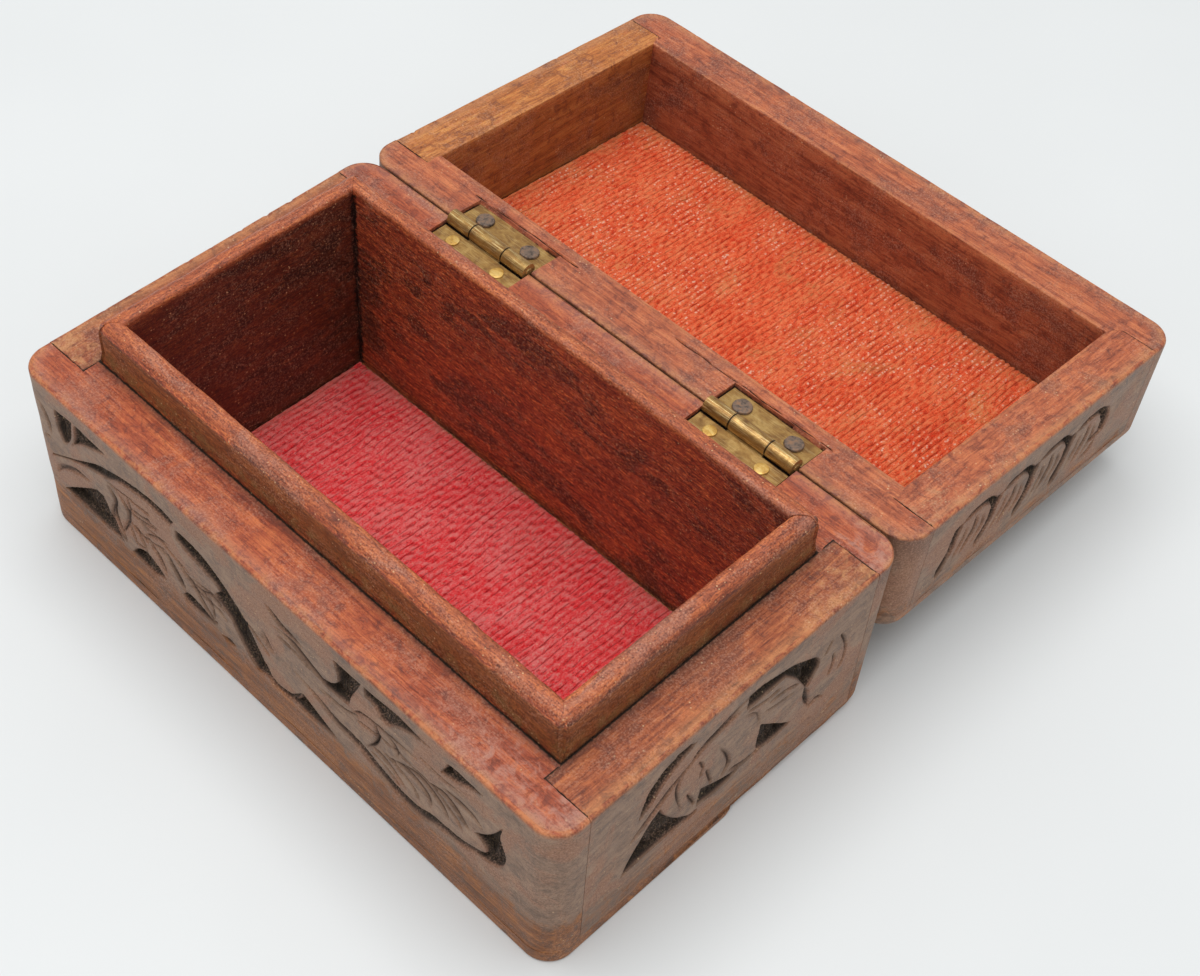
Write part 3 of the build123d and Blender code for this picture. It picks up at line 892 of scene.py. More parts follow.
def slab(name, body, z_joint, z_face, rounding, cuts, material, notch=None):
    """Thin board with rounded corners; its free face is rounded off round the edge by a quarter circle.

    Height of the free face: z_face moved in by the quarter-round of the distance to the outline and by the
    carved depth. The hinge side leans with the walls.
    """
    low, high = limits(name)
    half = high[0]
    free = 1 if z_face > z_joint else -1
    rim_level = base_rim_level if body == "base" else limits("lid_back_rail")[0][2]
    y_low, y_high = low[1], -low[1] - abs(z_joint - rim_level) * lean_slope
    x, y = slab_plan(half, y_low, y_high, rounding, carved_slab_pitch if cuts else plain_slab_pitch)
    inwards = inside_outline(x, y, half, y_low, y_high, corner_radius)
    scale = 2 * half / pattern_length
    cut = carved_depth(cuts, np.broadcast_to(x, y.shape) / scale, y / scale)
    uneven = slab_unevenness * np.clip(1 + wobble(x, y, slab_wave, 31), 0, 2)
    uneven = uneven * smooth((inwards - rounding) / 4)
    z = z_face - free * (fall(np.maximum(inwards, 0), rounding) + cut + uneven)
    seat = z_joint + free * joint_gap
    rings = np.concatenate([column(x, y[:, :1], seat), column(x, y, z), column(x, y[:, -1:], seat)], 1)
    if notch:
        rings = notch(rings, half)
    edges = ((0, 0), (1, 1))
    plain = np.zeros(rings.shape[:2])
    sunk, grime_and_shade = painted(cut, grime_and_shade_passes // 2)
    words = ("sunk", "grime_and_shade", "crack", "face", "rubbed", "border", "dust", "inside_shade", "edge")
    layers = dict.fromkeys(words, plain)
    layers["sunk"] = np.pad(sunk, edges)
    layers["grime_and_shade"] = np.pad(grime_and_shade, edges)
    layers["face"] = 1 + plain
    layers["rubbed"] = np.pad(0.6 * bell(np.maximum(inwards, 0) - rounding * 0.3, rounding * 0.8), edges)
    layers["border"] = (1.0 if body == "base" else 0.35) + plain
    swept(name + "_board", rings, layers, material, body, [name], "sheesham_wood")


def broken_corner(rings, half):
    """The bottom board is broken away behind the middle of its right edge, with a notch at the start.

    The edge is pushed in by the depth of the break, the notch raised by a bell curve across the edge.
    """
    x, y, z = rings[..., 0], rings[..., 1], rings[..., 2]
    depth = break_depth * smooth((y - break_start) / 0.5) * (1 + 0.08 * wobble(y, 0, 9, 12))
    notch = notch_height * bell(y - break_start, 0.9) * smooth((x - half + 1.8) / 1.5)
    rings[..., 0] = x - depth * smooth((x - half + 4) / 4)
    rings[..., 2] = np.minimum(z + notch * (z < z.max() - 0.1), z.max())
    return rings


# Liner and velvets

def lip_profile(z_low, z_high, thick):
    """Section of a liner board, n inwards and h up: outer foot, rounded lip, inner foot."""
    turn = np.linspace(0, math.pi / 2, 8)
    foot = base_rim_level
    n = np.concatenate([
        np.zeros(6),
        lip_outer_rounding * (1 - np.cos(turn)),
        thick - lip_inner_rounding * (1 - np.sin(turn)),
        np.full(liner_rows, thick),
    ])
    h = np.concatenate([
        [z_low, foot, foot + 0.6, foot + 1.4, foot + 3.5, foot + 6],
        z_high - lip_outer_rounding * (1 - np.sin(turn)),
        z_high - lip_inner_rounding * (1 - np.cos(turn)),
        np.linspace(z_high - lip_reach, z_low, liner_rows),
    ])
    return n, h


def liner_board(side, material):
    """Mitred liner board: a lip profile carried along it, cut where n is the distance from the end."""
    node = "liner_" + side
    low, high = limits(node)
    long = side in ("front", "back")
    thick = high[1] - low[1] if long else high[0] - low[0]
    half = (high[0] - low[0]) / 2 if long else (high[1] - low[1]) / 2
    centre = 0 if long else (low[1] + high[1]) / 2
    foot = base_rim_level
    n, h = lip_profile(low[2], high[2], thick)
    along = np.linspace(-1, 1, 180 if long else 110)[:, None] * (half - n - joint_gap * 0.5)
    seed = {"front": 3, "back": 13, "left": 23, "right": 33}[side]
    wear = lip_wear * (1 + wobble(along, 0, 13, seed) + 0.5 * wobble(along, 0, 3, seed + 1))
    height = h - np.clip(wear, 0, 0.5) * smooth((h - (high[2] - 4)) / 3)
    rubbed_corner = lip_corner_wear * (1 - smooth((half - np.abs(along)) / lip_corner_reach))
    rough = lip_roughness * np.clip(1 + wobble(along, height, 10, seed + 2), 0, 2)
    outer_side = (n < thick / 2) * smooth((h - foot) / 4)
    deep = n + outer_side * (rough + rubbed_corner)
    placed = {
        "front": (along, low[1] + deep, height),
        "back": (along, high[1] - deep, height),
        "right": (high[0] - deep, centre + along, height),
        "left": (low[0] + deep, centre + along, height),
    }[side]
    layers = liner_layers(along, n, h, height, half, thick, high[2], seed)
    swept(node + "_lip", column(*placed), layers, material, "base", [node], "liner_wood")


def liner_layers(along, n, h, height, half, thick, top, seed):
    """Painted layers of a liner board: rubbed lip, glue and dirt at its foot, outer side, dark mitre."""
    above = np.maximum(h - base_rim_level, 0)
    glue = bell(above - 2.4, 2.6) * (n < 0.6) * (0.8 + 0.5 * wobble(along, height, 6, seed + 4))
    mitre = bell(half - np.abs(along) - n, 1.2) * (n > thick / 2) * (h < top - 2)
    layers = {
        "lip": smooth((h - (top - lip_reach)) / 1.8),
        "glue": np.clip(glue, 0, 1),
        "crack": dirt_line(above, 1.8) * (n < 0.1),
        "outside": (n < 0.1) * smooth((h - base_rim_level) / 2),
        "mitre": mitre,
    }
    return {word: np.broadcast_to(values, along.shape) for word, values in layers.items()}


def velvet(node, body, free, spacing, material, slot, seed):
    """Ribbed velvet: height = rounded ribs along y, of wandering width and height, and tufts of pile."""
    low, high = limits(node)
    x = np.arange(low[0] + velvet_inset, high[0] - velvet_inset, spacing / rib_columns)[:, None]
    y = np.arange(low[1] + velvet_inset, high[1] - velvet_inset, rib_pitch)
    drift = 0.32 * wobble(x, y, 22, seed) + 0.10 * wobble(x, y, 4, seed + 1, 2.0)
    row = x / spacing + 0.5 * drift
    rib = np.abs(np.cos(row * math.pi)) ** 0.7
    lively = np.clip(0.75 + 0.4 * wobble(x, y, 12, seed + 2), 0.2, 1.2)
    tuft = wobble(x, y, 1.3, seed + 3, 2.2)
    height = rib_height * lively * (rib - 1) + tuft_depth * (tuft - 1.6)
    to_edge = np.minimum(np.minimum(x - low[0], high[0] - x), np.minimum(y - low[1], high[1] - y))
    height = np.clip(height, -deepest_fold, 0) - edge_press * np.exp(-to_edge / edge_reach)
    top, seat = (high[2], low[2]) if free > 0 else (low[2], high[2])
    pile_face = column(x, y, top + free * height)
    rings = np.concatenate([column(x, y[:1], seat), pile_face, column(x, y[-1:], seat)], 1)
    layers = {"row": row, "tuft": 0.5 + 0.3 * tuft, "dusty": np.exp(-to_edge / dusty_reach)}
    layers = {word: np.pad(values, ((0, 0), (1, 1)), mode="edge") for word, values in layers.items()}
    sheet = swept(node + "_cloth", rings, layers, material, body, [node], slot, pile_crease)


# Materials

def tone(colour):
    """Linear colour of a screen colour, which is given as red, green and blue from 0 to 255."""
    value = np.array(colour) / 255
    linear = np.where(value <= 0.04045, value / 12.92, ((value + 0.055) / 1.055) ** 2.4)
    return (*linear.tolist(), 1.0)


def lit(colour, light):
    """Screen colour with each of its parts times the light."""
    return tuple(light * part for part in colour)


def shaded(colour):
    """Screen colour of a fold's depth: half the light of the colour."""
    return tuple(255 * (0.5 * part) ** (1 / 2.2) for part in tone(colour)[:3])


def grain_sizes(along, length, width):
    """Size of a grain feature along x, y and z for boards that run along x or y."""
    return (length, width, width) if along == "x" else (width, length, width)


class Finish:
    """One material: its nodes, joined by short calls.

    Places are in millimetres on Object coordinates, moved away by three numbers, so that boards differ.
    Colours are screen values.
    """

    def __init__(self, name, roughness=0.5, specular=0.4, metallic=0.0, away=(0, 0, 0)):
        self.material = bpy.data.materials.new(name)
        self.material.use_nodes = True
        self.tree = self.material.node_tree
        self.tree.nodes.clear()
        self.shader = self.node("ShaderNodeBsdfPrincipled")
        self.node("ShaderNodeOutputMaterial", {"Surface": self.shader.outputs["BSDF"]})
        self.shade({"Roughness": roughness, "Specular IOR Level": specular, "Metallic": metallic})
        self.place = self.node("ShaderNodeTexCoord").outputs["Object"]
        self.away = away

    def node(self, kind, inputs=None, **settings):
        """A new node with its settings, its inputs filled or joined by name or number."""
        made = self.tree.nodes.new(kind)
        for key, value in settings.items():
            setattr(made, key, value)
        for socket, source in (inputs or {}).items():
            self.join(source, made.inputs[socket])
        return made

    def join(self, source, target):
        """Joins a socket to an input, or fills the input with a number, a place or a colour."""
        if isinstance(source, bpy.types.NodeSocket):
            self.tree.links.new(source, target)
        else:
            target.default_value = tone(source) if target.type == "RGBA" else source

    def shade(self, sockets):
        """Fills or joins sockets of the shader."""
        for socket, source in sockets.items():
            self.join(source, self.shader.inputs[socket])

    def layer(self, name):
        """Value of a painted layer of the mesh."""
        return self.node("ShaderNodeAttribute", attribute_name=name).outputs["Fac"]

    def spread(self, size, turn=0.0, shift=None):
        """Place divided by a size, or by one for each of x, y and z, so that one unit is one feature."""
        scale = [1 / (s * mm) for s in np.broadcast_to(size, 3)]
        inputs = {"Vector": self.place, "Scale": scale, "Rotation": (0, 0, turn)}
        inputs["Location"] = shift or self.away
        return self.node("ShaderNodeMapping", inputs).outputs["Vector"]

    def noise(self, size, detail=4.0, roughness=0.55, distortion=0.0, turn=0.0, shift=None):
        """Noise from 0 to 1, mostly near a half, with features of a size in millimetres."""
        inputs = {"Vector": self.spread(size, turn, shift), "Scale": 1.0}
        inputs.update({"Detail": detail, "Roughness": roughness, "Distortion": distortion})
        return self.node("ShaderNodeTexNoise", inputs).outputs["Fac"]

    def cells(self, size, shift=None):
        """Distance from the nearest of many scattered points, as a share of their spacing."""
        inputs = {"Vector": self.spread(size, 0.0, shift), "Scale": 1.0, "Randomness": 1.0}
        return self.node("ShaderNodeTexVoronoi", inputs).outputs["Distance"]

    def coordinates(self):
        """The three coordinates of the place, in millimetres."""
        parts = self.node("ShaderNodeSeparateXYZ", {0: self.place})
        return [self.times(part, 1 / mm) for part in parts.outputs]

    def ramp(self, value, places, colours):
        """Colour or number that follows a value: at each of the places it has the colour given for it."""
        made = self.node("ShaderNodeValToRGB", {"Fac": value})
        elements = made.color_ramp.elements
        while len(elements) < len(places):
            elements.new(0.5)
        for element, place, colour in zip(elements, places, colours):
            element.position = place
            element.color = tone(colour) if isinstance(colour, tuple) else (colour, colour, colour, 1)
        return made.outputs["Color"]

    def between(self, value, low, high):
        """0 at low, 1 at high."""
        inputs = {"Value": value, "From Min": low, "From Max": high}
        return self.node("ShaderNodeMapRange", inputs, interpolation_type="SMOOTHSTEP").outputs["Result"]

    def maths(self, operation, first, second=0.0):
        return self.node("ShaderNodeMath", {0: first, 1: second}, operation=operation).outputs[0]

    def times(self, first, second):
        return self.maths("MULTIPLY", first, second)

    def plus(self, first, second):
        return self.maths("ADD", first, second)

    def apart(self, value, from_place):
        """Distance of a value from a place."""
        return self.maths("ABSOLUTE", self.plus(value, -from_place))

    def blend(self, *shares):
        """Sum of values, each times its share."""
        total = self.times(*shares[0])
        for share in shares[1:]:
            total = self.plus(total, self.times(*share))
        return total

    def frayed(self, value, noise, amount):
        """A value made ragged: value + (noise - 0.5) * amount."""
        return self.plus(value, self.times(self.plus(noise, -0.5), amount))

    def mix(self, amount, first, second):
        """The first colour where the amount is 0, the second where it is 1."""
        inputs = {"Factor": amount, 6: first, 7: second}
        return self.node("ShaderNodeMix", inputs, data_type="RGBA").outputs[2]

    def washes(self, colour, *rows):
        """Colour with one paint after another over it.

        Each row holds a paint, a value, low, high and an amount: the paint covers the colour by that amount
        where the value has gone from low to high.
        """
        for paint, value, low, high, amount in rows:
            colour = self.mix(self.times(self.between(value, low, high), amount), colour, paint)
        return colour

    def bump(self, height, depth):
        """Bump of a height field whose full range is a depth in millimetres."""
        inputs = {"Strength": 1.0, "Distance": depth * mm, "Height": height}
        return self.node("ShaderNodeBump", inputs).outputs["Normal"]


class BoardWood(Finish):
    """Worn rosewood: streaked bare rims, weathered brown outer faces, carved pockets darkened by dirt and
    painted shade, and painted shade down the inside faces and in the hinge side's gap.

    Bare holds the dark, middle and light colour of the rims, stain the colour of their broad patches and
    dust the colour of what lies round some of their corners. Specks tells how common the pale specks are.
    """

    def __init__(self, name, along, bare, stain, specks=0.3, shift=0.0, dust=(150, 116, 98)):
        super().__init__(name, 0.5, 0.3, away=(shift, shift * 1.7, shift * 0.6))
        self.figure = self.noise(grain_sizes(along, 26, 2.1), 8.0, 0.62, 1.2)
        self.flecks = self.noise(grain_sizes(along, 3.2, 0.42), 4.0, 0.62, 0.5)
        self.streaks = self.noise(grain_sizes(along, 14, 0.6), 5.0, 0.62, 0.9, 0.03)
        self.stains = self.noise(15, 5.0, 0.62, 0.8)
        self.mottle = self.noise(3.0, 7.0, 0.70, 0.6)
        self.grit = self.noise(0.42, 3.0, 0.7)
        self.fibres = self.noise((0.35, 0.35, 1.8), 3.0, 0.6, 1.0)
        self.grain = self.blend((self.figure, 0.5), (self.flecks, 0.3), (self.mottle, 0.2))
        self.sunk = self.layer("sunk")
        colour = self.mix(self.layer("face"), self.bare_wood(bare, stain, dust), self.weathered())
        colour = self.worn(self.cut_shade_and_dirt(colour), specks)
        dull = self.blend((self.sunk, 0.3), (self.layer("crack"), 0.5))
        fibrous = self.times(self.fibres, self.sunk)
        relief = self.blend((self.flecks, 0.6), (self.grit, 0.4), (self.mottle, 0.4), (fibrous, 1.5))
        self.shade({
            "Base Color": colour,
            "Roughness": self.plus(self.ramp(self.mottle, (0.3, 0.7), (0.40, 0.60)), dull),
            "Normal": self.bump(relief, 0.22),
        })

    def bare_wood(self, bare, stain, dust):
        """Rims and inside: grain with light and dark streaks, stains, dust round some corners, and painted
        shade down the inside faces.
        """
        dust_coat = self.frayed(self.times(self.layer("dust"), 0.7), self.mottle, 3.2)
        red = self.washes(
            self.ramp(self.grain, (0.37, 0.50, 0.62), bare),
            (bare[2], self.streaks, 0.54, 0.66, 0.3),
            ((96, 46, 36), self.streaks, 0.46, 0.36, 0.45),
            (stain, self.stains, 0.52, 0.64, 0.5),
            ((200, 106, 60), self.mottle, 0.53, 0.62, 0.25),
            ((100, 52, 44), self.mottle, 0.47, 0.36, 0.5),
            (dust, self.layer("edge"), 0.2, 1.0, 0.3),
            (dust, dust_coat, 0.30, 1.1, 0.7),
        )
        # Inside faces painted darker further from the rim: painted shade
        return self.mix(self.times(self.layer("inside_shade"), 0.34), red, (76, 24, 12))

    def weathered(self):
        """Outer faces: grey-brown near the rim, warmer over the part away from it."""
        places = (0.38, 0.5, 0.62)
        brown = self.blend((self.figure, 0.35), (self.mottle, 0.65))
        brown = self.ramp(brown, places, ((106, 82, 66), (139, 110, 90), (161, 132, 110)))
        brown = self.washes(brown, ((150, 98, 68), self.stains, 0.46, 0.60, 0.55))
        warm = self.ramp(self.grain, places, ((88, 56, 36), (132, 82, 48), (176, 114, 62)))
        warm = self.washes(warm, ((86, 64, 50), self.mottle, 0.46, 0.36, 0.5))
        border = self.frayed(self.layer("border"), self.mottle, 1.6)
        return self.washes(brown, (warm, border, 0.25, 0.85, 1))

    def cut_shade_and_dirt(self, colour):
        """Painted shade and dirt by the depth of the cuts: darker round them, the fine ones filled dark,
        fibrous dirt on deep floors.
        """
        grime_and_shade = self.frayed(self.layer("grime_and_shade"), self.mottle, 0.6)
        shade = self.frayed(self.sunk, self.mottle, 0.18)
        dirt = self.ramp(self.fibres, (0.38, 0.54, 0.70), ((34, 27, 22), (56, 45, 35), (98, 80, 58)))
        # Colour darkened by the depth of the cuts: painted shade with dirt, the darkest as fibrous dirt on
        # the deep floors
        return self.washes(
            colour,
            ((96, 66, 54), grime_and_shade, 0.02, 0.75, 0.5),
            ((66, 46, 37), shade, 0.14, 0.40, 0.8),
            (dirt, shade, 0.34, 0.60, 1),
            ((32, 25, 20), self.sunk, 0.9, 1.6, 0.7),
        )

    def worn(self, colour, specks):
        """Rubbed edges, dust, dark grit, pale specks, and black cracks with painted shade in the hinge side's
        gap.
        """
        crack = self.frayed(self.layer("crack"), self.noise(1.1, 4.0, 0.65), 1.1)
        dusty = self.times(self.between(self.stains, 0.40, 0.58), 0.28)
        some = self.between(self.noise(8, 3.0, 0.6), 0.62 - 0.2 * specks, 0.70)
        return self.washes(
            colour,
            ((190, 128, 84), self.mottle, 0.42, 0.58, self.times(self.layer("rubbed"), 0.6)),
            ((204, 160, 136), self.grit, 0.50, 0.62, dusty),
            ((66, 36, 28), self.grit, 0.46, 0.36, 0.32),
            ((216, 184, 144), self.cells(1.3), 0.20, 0.08, self.times(some, 0.75)),
            ((40, 28, 20), crack, 0.32, 0.75, 1),
        )


def liner_mahogany(name, along, light):
    """Dark polished liner: flecked deep red-brown inside, rubbed lip, dusty glue at its foot and specks.

    Light is the board's painted light: how pale its inside is painted, 1 for the darkest board.
    """
    wood = Finish(name, 0.4, 0.4)
    figure = wood.noise(grain_sizes(along, 16, 1.8), 8.0, 0.68, 1.2)
    flecks = wood.noise(grain_sizes(along, 1.5, 0.32), 4.0, 0.65, 0.4)
    stains = wood.noise(grain_sizes(along, 22, 9), 5.0, 0.62, 0.8)
    streaks = wood.noise(grain_sizes(along, 7, 0.5), 5.0, 0.68, 0.9, 0.03)
    mottle = wood.noise(3.0, 7.0, 0.72, 0.5)
    grit = wood.noise(0.42, 3.0, 0.7)
    grain = wood.blend((figure, 0.5), (flecks, 0.5))
    # Inside colours times the board's painted light
    deep = [lit(colour, light) for colour in ((56, 24, 18), (84, 36, 24), (118, 60, 34))]
    inner = wood.washes(
        wood.ramp(grain, (0.40, 0.50, 0.61), deep),
        (lit((32, 15, 12), light), stains, 0.50, 0.60, 0.75),
        ((44, 20, 16), streaks, 0.47, 0.38, 0.6),
        (lit((104, 48, 26), light), streaks, 0.54, 0.64, 0.4),
        (lit((140, 82, 46), light), flecks, 0.56, 0.66, 0.6),
    )
    lip = wood.ramp(grain, (0.38, 0.50, 0.61), ((110, 50, 30), (164, 82, 48), (204, 116, 66)))
    lip = wood.washes(lip, ((150, 104, 90), stains, 0.52, 0.64, 0.45))
    side = wood.ramp(grain, (0.38, 0.50, 0.61), ((84, 42, 22), (128, 66, 32), (168, 98, 48)))
    colour = wood.mix(wood.layer("outside"), inner, side)
    crack = wood.frayed(wood.layer("crack"), mottle, 1.3)
    mitre = wood.frayed(wood.layer("mitre"), wood.noise((1.4, 1.4, 0.8), 4.0, 0.6, shift=(2, 3, 1)), 2.5)
    colour = wood.washes(
        wood.mix(wood.layer("lip"), colour, lip),
        ((130, 98, 56), mottle, 0.40, 0.56, wood.times(wood.layer("glue"), 0.7)),
        ((46, 32, 22), crack, 0.32, 0.75, 1),
        ((24, 14, 11), mitre, 0.45, 0.75, 1),
        ((196, 150, 124), grit, 0.52, 0.64, wood.times(wood.between(stains, 0.40, 0.56), 0.42)),
        ((40, 20, 16), grit, 0.47, 0.37, 0.6),
        ((206, 160, 118), wood.cells(1.3), 0.19, 0.08, wood.between(mottle, 0.46, 0.56)),
    )
    wood.shade({
        "Base Color": colour,
        "Roughness": wood.ramp(mottle, (0.3, 0.7), (0.36, 0.56)),
        "Normal": wood.bump(wood.blend((flecks, 0.5), (grit, 0.4), (mottle, 0.4)), 0.18),
    })
    return wood.material


def pile(name, deep, middle, pale, dust, tuft_light_and_shade, crest_highlight_and_dust, furrow_shade):
    """Worn velvet pile: curled fibres, dust and a soft sheen, with painted light: glints on the fibres, shade
    in the broken lines between the ribs and on low tufts, highlights on high tufts and in rows of dots on the
    crests.

    A rib's crest is where the cosine of its row is largest, the line between two ribs where it is 0.
    """
    cloth = Finish(name, 0.9, 0.1)
    cloth.shade({"Sheen Weight": 0.15, "Sheen Roughness": 0.4, "Sheen Tint": pale})
    patches = cloth.noise((9, 12, 9), 5.0, 0.62, 0.8)
    fibre = cloth.noise((0.42, 0.9, 0.6), 4.0, 0.72, 1.2, 0.35)
    curled = cloth.noise((1.0, 1.5, 1.0), 3.0, 0.6, 2.4, -0.3)
    strands = cloth.noise((0.7, 1.2, 0.8), 3.0, 0.6, 3.0, 0.5, (4, 0, 2))
    broken = cloth.between(cloth.noise((1.9, 5.0, 3.0), 5.0, 0.7, 0.6, 0.0, (3, 5, 0)), 0.40, 0.55)
    soiled = cloth.between(cloth.noise((17, 22, 17), 4.0, 0.6, 0.9, 0.0, (9, 4, 0)), 0.53, 0.68)
    # Patches and cells of the painted highlight dots on the rib crests
    worn = cloth.between(cloth.noise((16, 20, 14), 6.0, 0.75, 0.5, 0.0, (4, 2, 0)), 0.43, 0.58)
    tufts = cloth.between(cloth.cells((0.8, 0.9, 40), (7, 1, 0)), 0.46, 0.22)
    tuft = cloth.frayed(cloth.layer("tuft"), strands, 1.2)
    wave = cloth.maths("ABSOLUTE", cloth.maths("COSINE", cloth.times(cloth.layer("row"), math.pi)))
    line = cloth.times(cloth.between(wave, 0.40, 0.0), broken)
    colour = cloth.washes(
        cloth.ramp(cloth.blend((patches, 0.35), (fibre, 0.65)), (0.41, 0.50, 0.61), (deep, middle, pale)),
        # Painted glints: thin pale curls where the fibre noises cross their middle
        (pale, cloth.apart(curled, 0.5), 0.040, 0.008, 0.4),
        (pale, cloth.apart(strands, 0.5), 0.040, 0.008, 0.4),
        (deep, curled, 0.43, 0.35, 0.5),
        # Painted highlight on the high tufts and painted shade on the low ones
        (pale, tuft, 0.52, 0.88, tuft_light_and_shade),
        (shaded(deep), tuft, 0.34, 0.0, tuft_light_and_shade),
        # Painted shade in the broken lines between the ribs
        (shaded(deep), wave, 0.40, 0.0, cloth.times(broken, furrow_shade)),
        (dust, patches, 0.34, 0.60, cloth.times(cloth.layer("dusty"), 0.6)),
        (dust, fibre, 0.40, 0.56, cloth.times(soiled, 0.55 * crest_highlight_and_dust)),
        # Painted highlights: rows of pale dots along the rib crests, in patches
        ((255, 212, 186), wave, 0.62, 0.92, cloth.times(cloth.times(tufts, worn), crest_highlight_and_dust)),
    )
    relief = cloth.blend((fibre, 0.8), (strands, 0.6), (line, -0.4))
    cloth.shade({"Base Color": colour, "Normal": cloth.bump(relief, 0.7)})
    return cloth.material


def old_brass(name, dark, middle, pale):
    """Old brass: dull olive brown with tarnish in patches, scratches, and painted shade in the gaps between
    the knuckles.

    A gap is where the distance along the barrel from a knuckle end is under a quarter of a millimetre.
    """
    brass = Finish(name, 0.4, metallic=0.6)
    patches = brass.noise((3.4, 3.0, 3.0), 6.0, 0.6, 0.6)
    fine = brass.noise(0.7, 4.0, 0.6)
    lines = brass.noise((6, 0.2, 0.2), 3.0, 0.6)
    along, across, _ = brass.coordinates()
    on_barrel = brass.between(brass.apart(across, hinge_y), 2.5, 2.2)
    gaps = [brass.apart(along, end) for end in knuckle_ends()]
    colour = brass.washes(
        brass.ramp(patches, (0.36, 0.50, 0.64), (dark, middle, pale)),
        (dark, fine, 0.54, 0.66, 0.25),
        ((232, 208, 150), lines, 0.52, 0.66, brass.plus(brass.times(on_barrel, 0.4), 0.3)),
        # Painted shade in the gaps between the knuckles
        *[((40, 28, 16), gap, 0.30, 0.12, brass.times(on_barrel, 0.85)) for gap in gaps],
    )
    polished = brass.ramp(patches, (0.35, 0.65), (0.54, 0.38))
    brass.shade({
        "Base Color": colour,
        "Roughness": brass.plus(polished, brass.times(on_barrel, -0.14)),
        "Normal": brass.bump(fine, 0.015),
    })
    return brass.material


def knuckle_ends():
    """Places along the hinge axis where a lid knuckle ends and the base's middle knuckle begins."""
    ends = []
    for word in ("left", "right"):
        x, _, z = mesh_points(word + "_hinge_base_leaf").T
        barrel = x[z > hinge_z]
        ends += [float(barrel.min()), float(barrel.max())]
    return ends


def old_iron():
    """Blackened iron nail: grey-brown with a little rust."""
    iron = Finish("old_iron", 0.55, metallic=0.15)
    rust = iron.noise(1.1, 5.0, 0.68, 0.4)
    iron.shade({
        "Base Color": iron.ramp(rust, (0.36, 0.50, 0.64), ((66, 54, 47), (112, 94, 82), (140, 106, 80))),
        "Normal": iron.bump(iron.noise(0.5, 4.0, 0.6), 0.08),
    })
    return iron.material


def pale_table():
    """Plain pale painted table top with a trace of unevenness."""
    table = Finish("pale_table", 0.55, 0.3)
    cloudy = table.ramp(table.noise(160, 3.0), (0.35, 0.65), ((218, 221, 222), (221, 224, 225)))
    table.shade({"Base Color": cloudy})
    return table.material


# The box

def carcass_sizes(name, upwards):
    """Named sizes that the four walls of the base or the lid share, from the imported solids."""
    front_low, front_high = limits(name + ("_front_board" if name == "base" else "_front_rail"))
    end_low, end_high = limits(name + "_right_end")
    leaf_low = limits("right_hinge_base_leaf")[0]
    depth = -front_low[1]
    rim = front_high[2] if upwards < 0 else front_low[2]
    knuckle = hinge_z - leaf_low[2]
    spans = []
    for word in ("left", "right"):
        low, high = limits(word + "_hinge_base_leaf")
        spans.append((low[0] - mortise_gap, high[0] + mortise_gap))

    def in_mortise(a):
        return np.any([(a > low) & (a < high) for low, high in spans], axis=0)

    def mortise_depth(y):
        """Flat floor under the leaf, rounded below the barrel: the deeper of the two."""
        round_floor = np.sqrt(np.maximum((knuckle + barrel_gap) ** 2 - (y - hinge_y) ** 2, 0))
        return np.maximum(knuckle, round_floor) - abs(hinge_z - rim)

    return {
        "half_length": front_high[0],
        "half_depth": depth,
        "rim": rim,
        "upwards": upwards,
        "cheek": depth - end_high[1],
        "inner_end": end_low[0],
        "mortise_edges": np.array(spans).ravel(),
        "mortise_reach": depth - (leaf_low[1] - mortise_gap),
        "in_mortise": in_mortise,
        "mortise_depth": mortise_depth,
    }


def build_walls():
    """Four carved walls of the base and four of the lid, the bottom board and the lid's top panel."""
    rim_red = ((106, 47, 35), (164, 79, 51), (204, 115, 70))
    rim_brown = ((100, 50, 34), (154, 82, 52), (194, 118, 74))
    rail_red = ((116, 58, 42), (172, 92, 62), (206, 126, 84))
    golden = ((128, 70, 36), (180, 108, 54), (212, 146, 80))
    long_red = BoardWood("rosewood_long", "x", rim_red, (146, 92, 76), 0.5, 0.0, (170, 128, 116)).material
    end_red = BoardWood("rosewood_end", "y", rim_brown, (126, 76, 58), 0.8, 5.0, (188, 142, 98)).material
    lid_long = BoardWood("rosewood_lid_long", "x", rail_red, (118, 70, 58), 0.5, 11.0).material
    lid_golden = BoardWood("rosewood_lid_left", "y", golden, (142, 92, 58), 0.3, 17.0).material
    lid_dust = (176, 136, 104)
    lid_end = BoardWood("rosewood_lid_right", "y", rail_red, (128, 84, 66), 1.0, 23.0, lid_dust).material
    base = carcass_sizes("base", -1)
    lid = carcass_sizes("lid", 1)
    long_cuts = broad_leaf() + curled_leaf()
    end_cuts = end_foliage()
    Wall("base_front_board", "front", base, 100).build(long_cuts, long_red, dust=(5, 72))
    Wall("base_back_board", "back", base, 110).build(long_cuts, long_red, dust=(-62, -76))
    Wall("base_right_end", "right", base, 120).build(end_cuts, end_red, dust=(2, 44))
    Wall("base_left_end", "left", base, 130).build(end_cuts, end_red, dust=(18, 42))
    long_border = petal_border(8, -55)
    end_border = petal_border(4, -26)
    Wall("lid_front_rail", "front", lid, 140).build(long_border, lid_long)
    Wall("lid_back_rail", "back", lid, 150).build(long_border, lid_long, scribes=[(-56, -7), (20, 57)])
    Wall("lid_right_end", "right", lid, 160).build(end_border, lid_end, dust=(16, 44))
    Wall("lid_left_end", "left", lid, 170).build(end_border, lid_golden)
    bottom = limits("base_bottom")
    slab("base_bottom", "base", bottom[1][2], bottom[0][2], arris, [], long_red, broken_corner)
    panel = limits("lid_top_panel")
    slab("lid_top_panel", "lid", panel[0][2], panel[1][2], lid_top_rounding, top_panel_foliage(), lid_long)


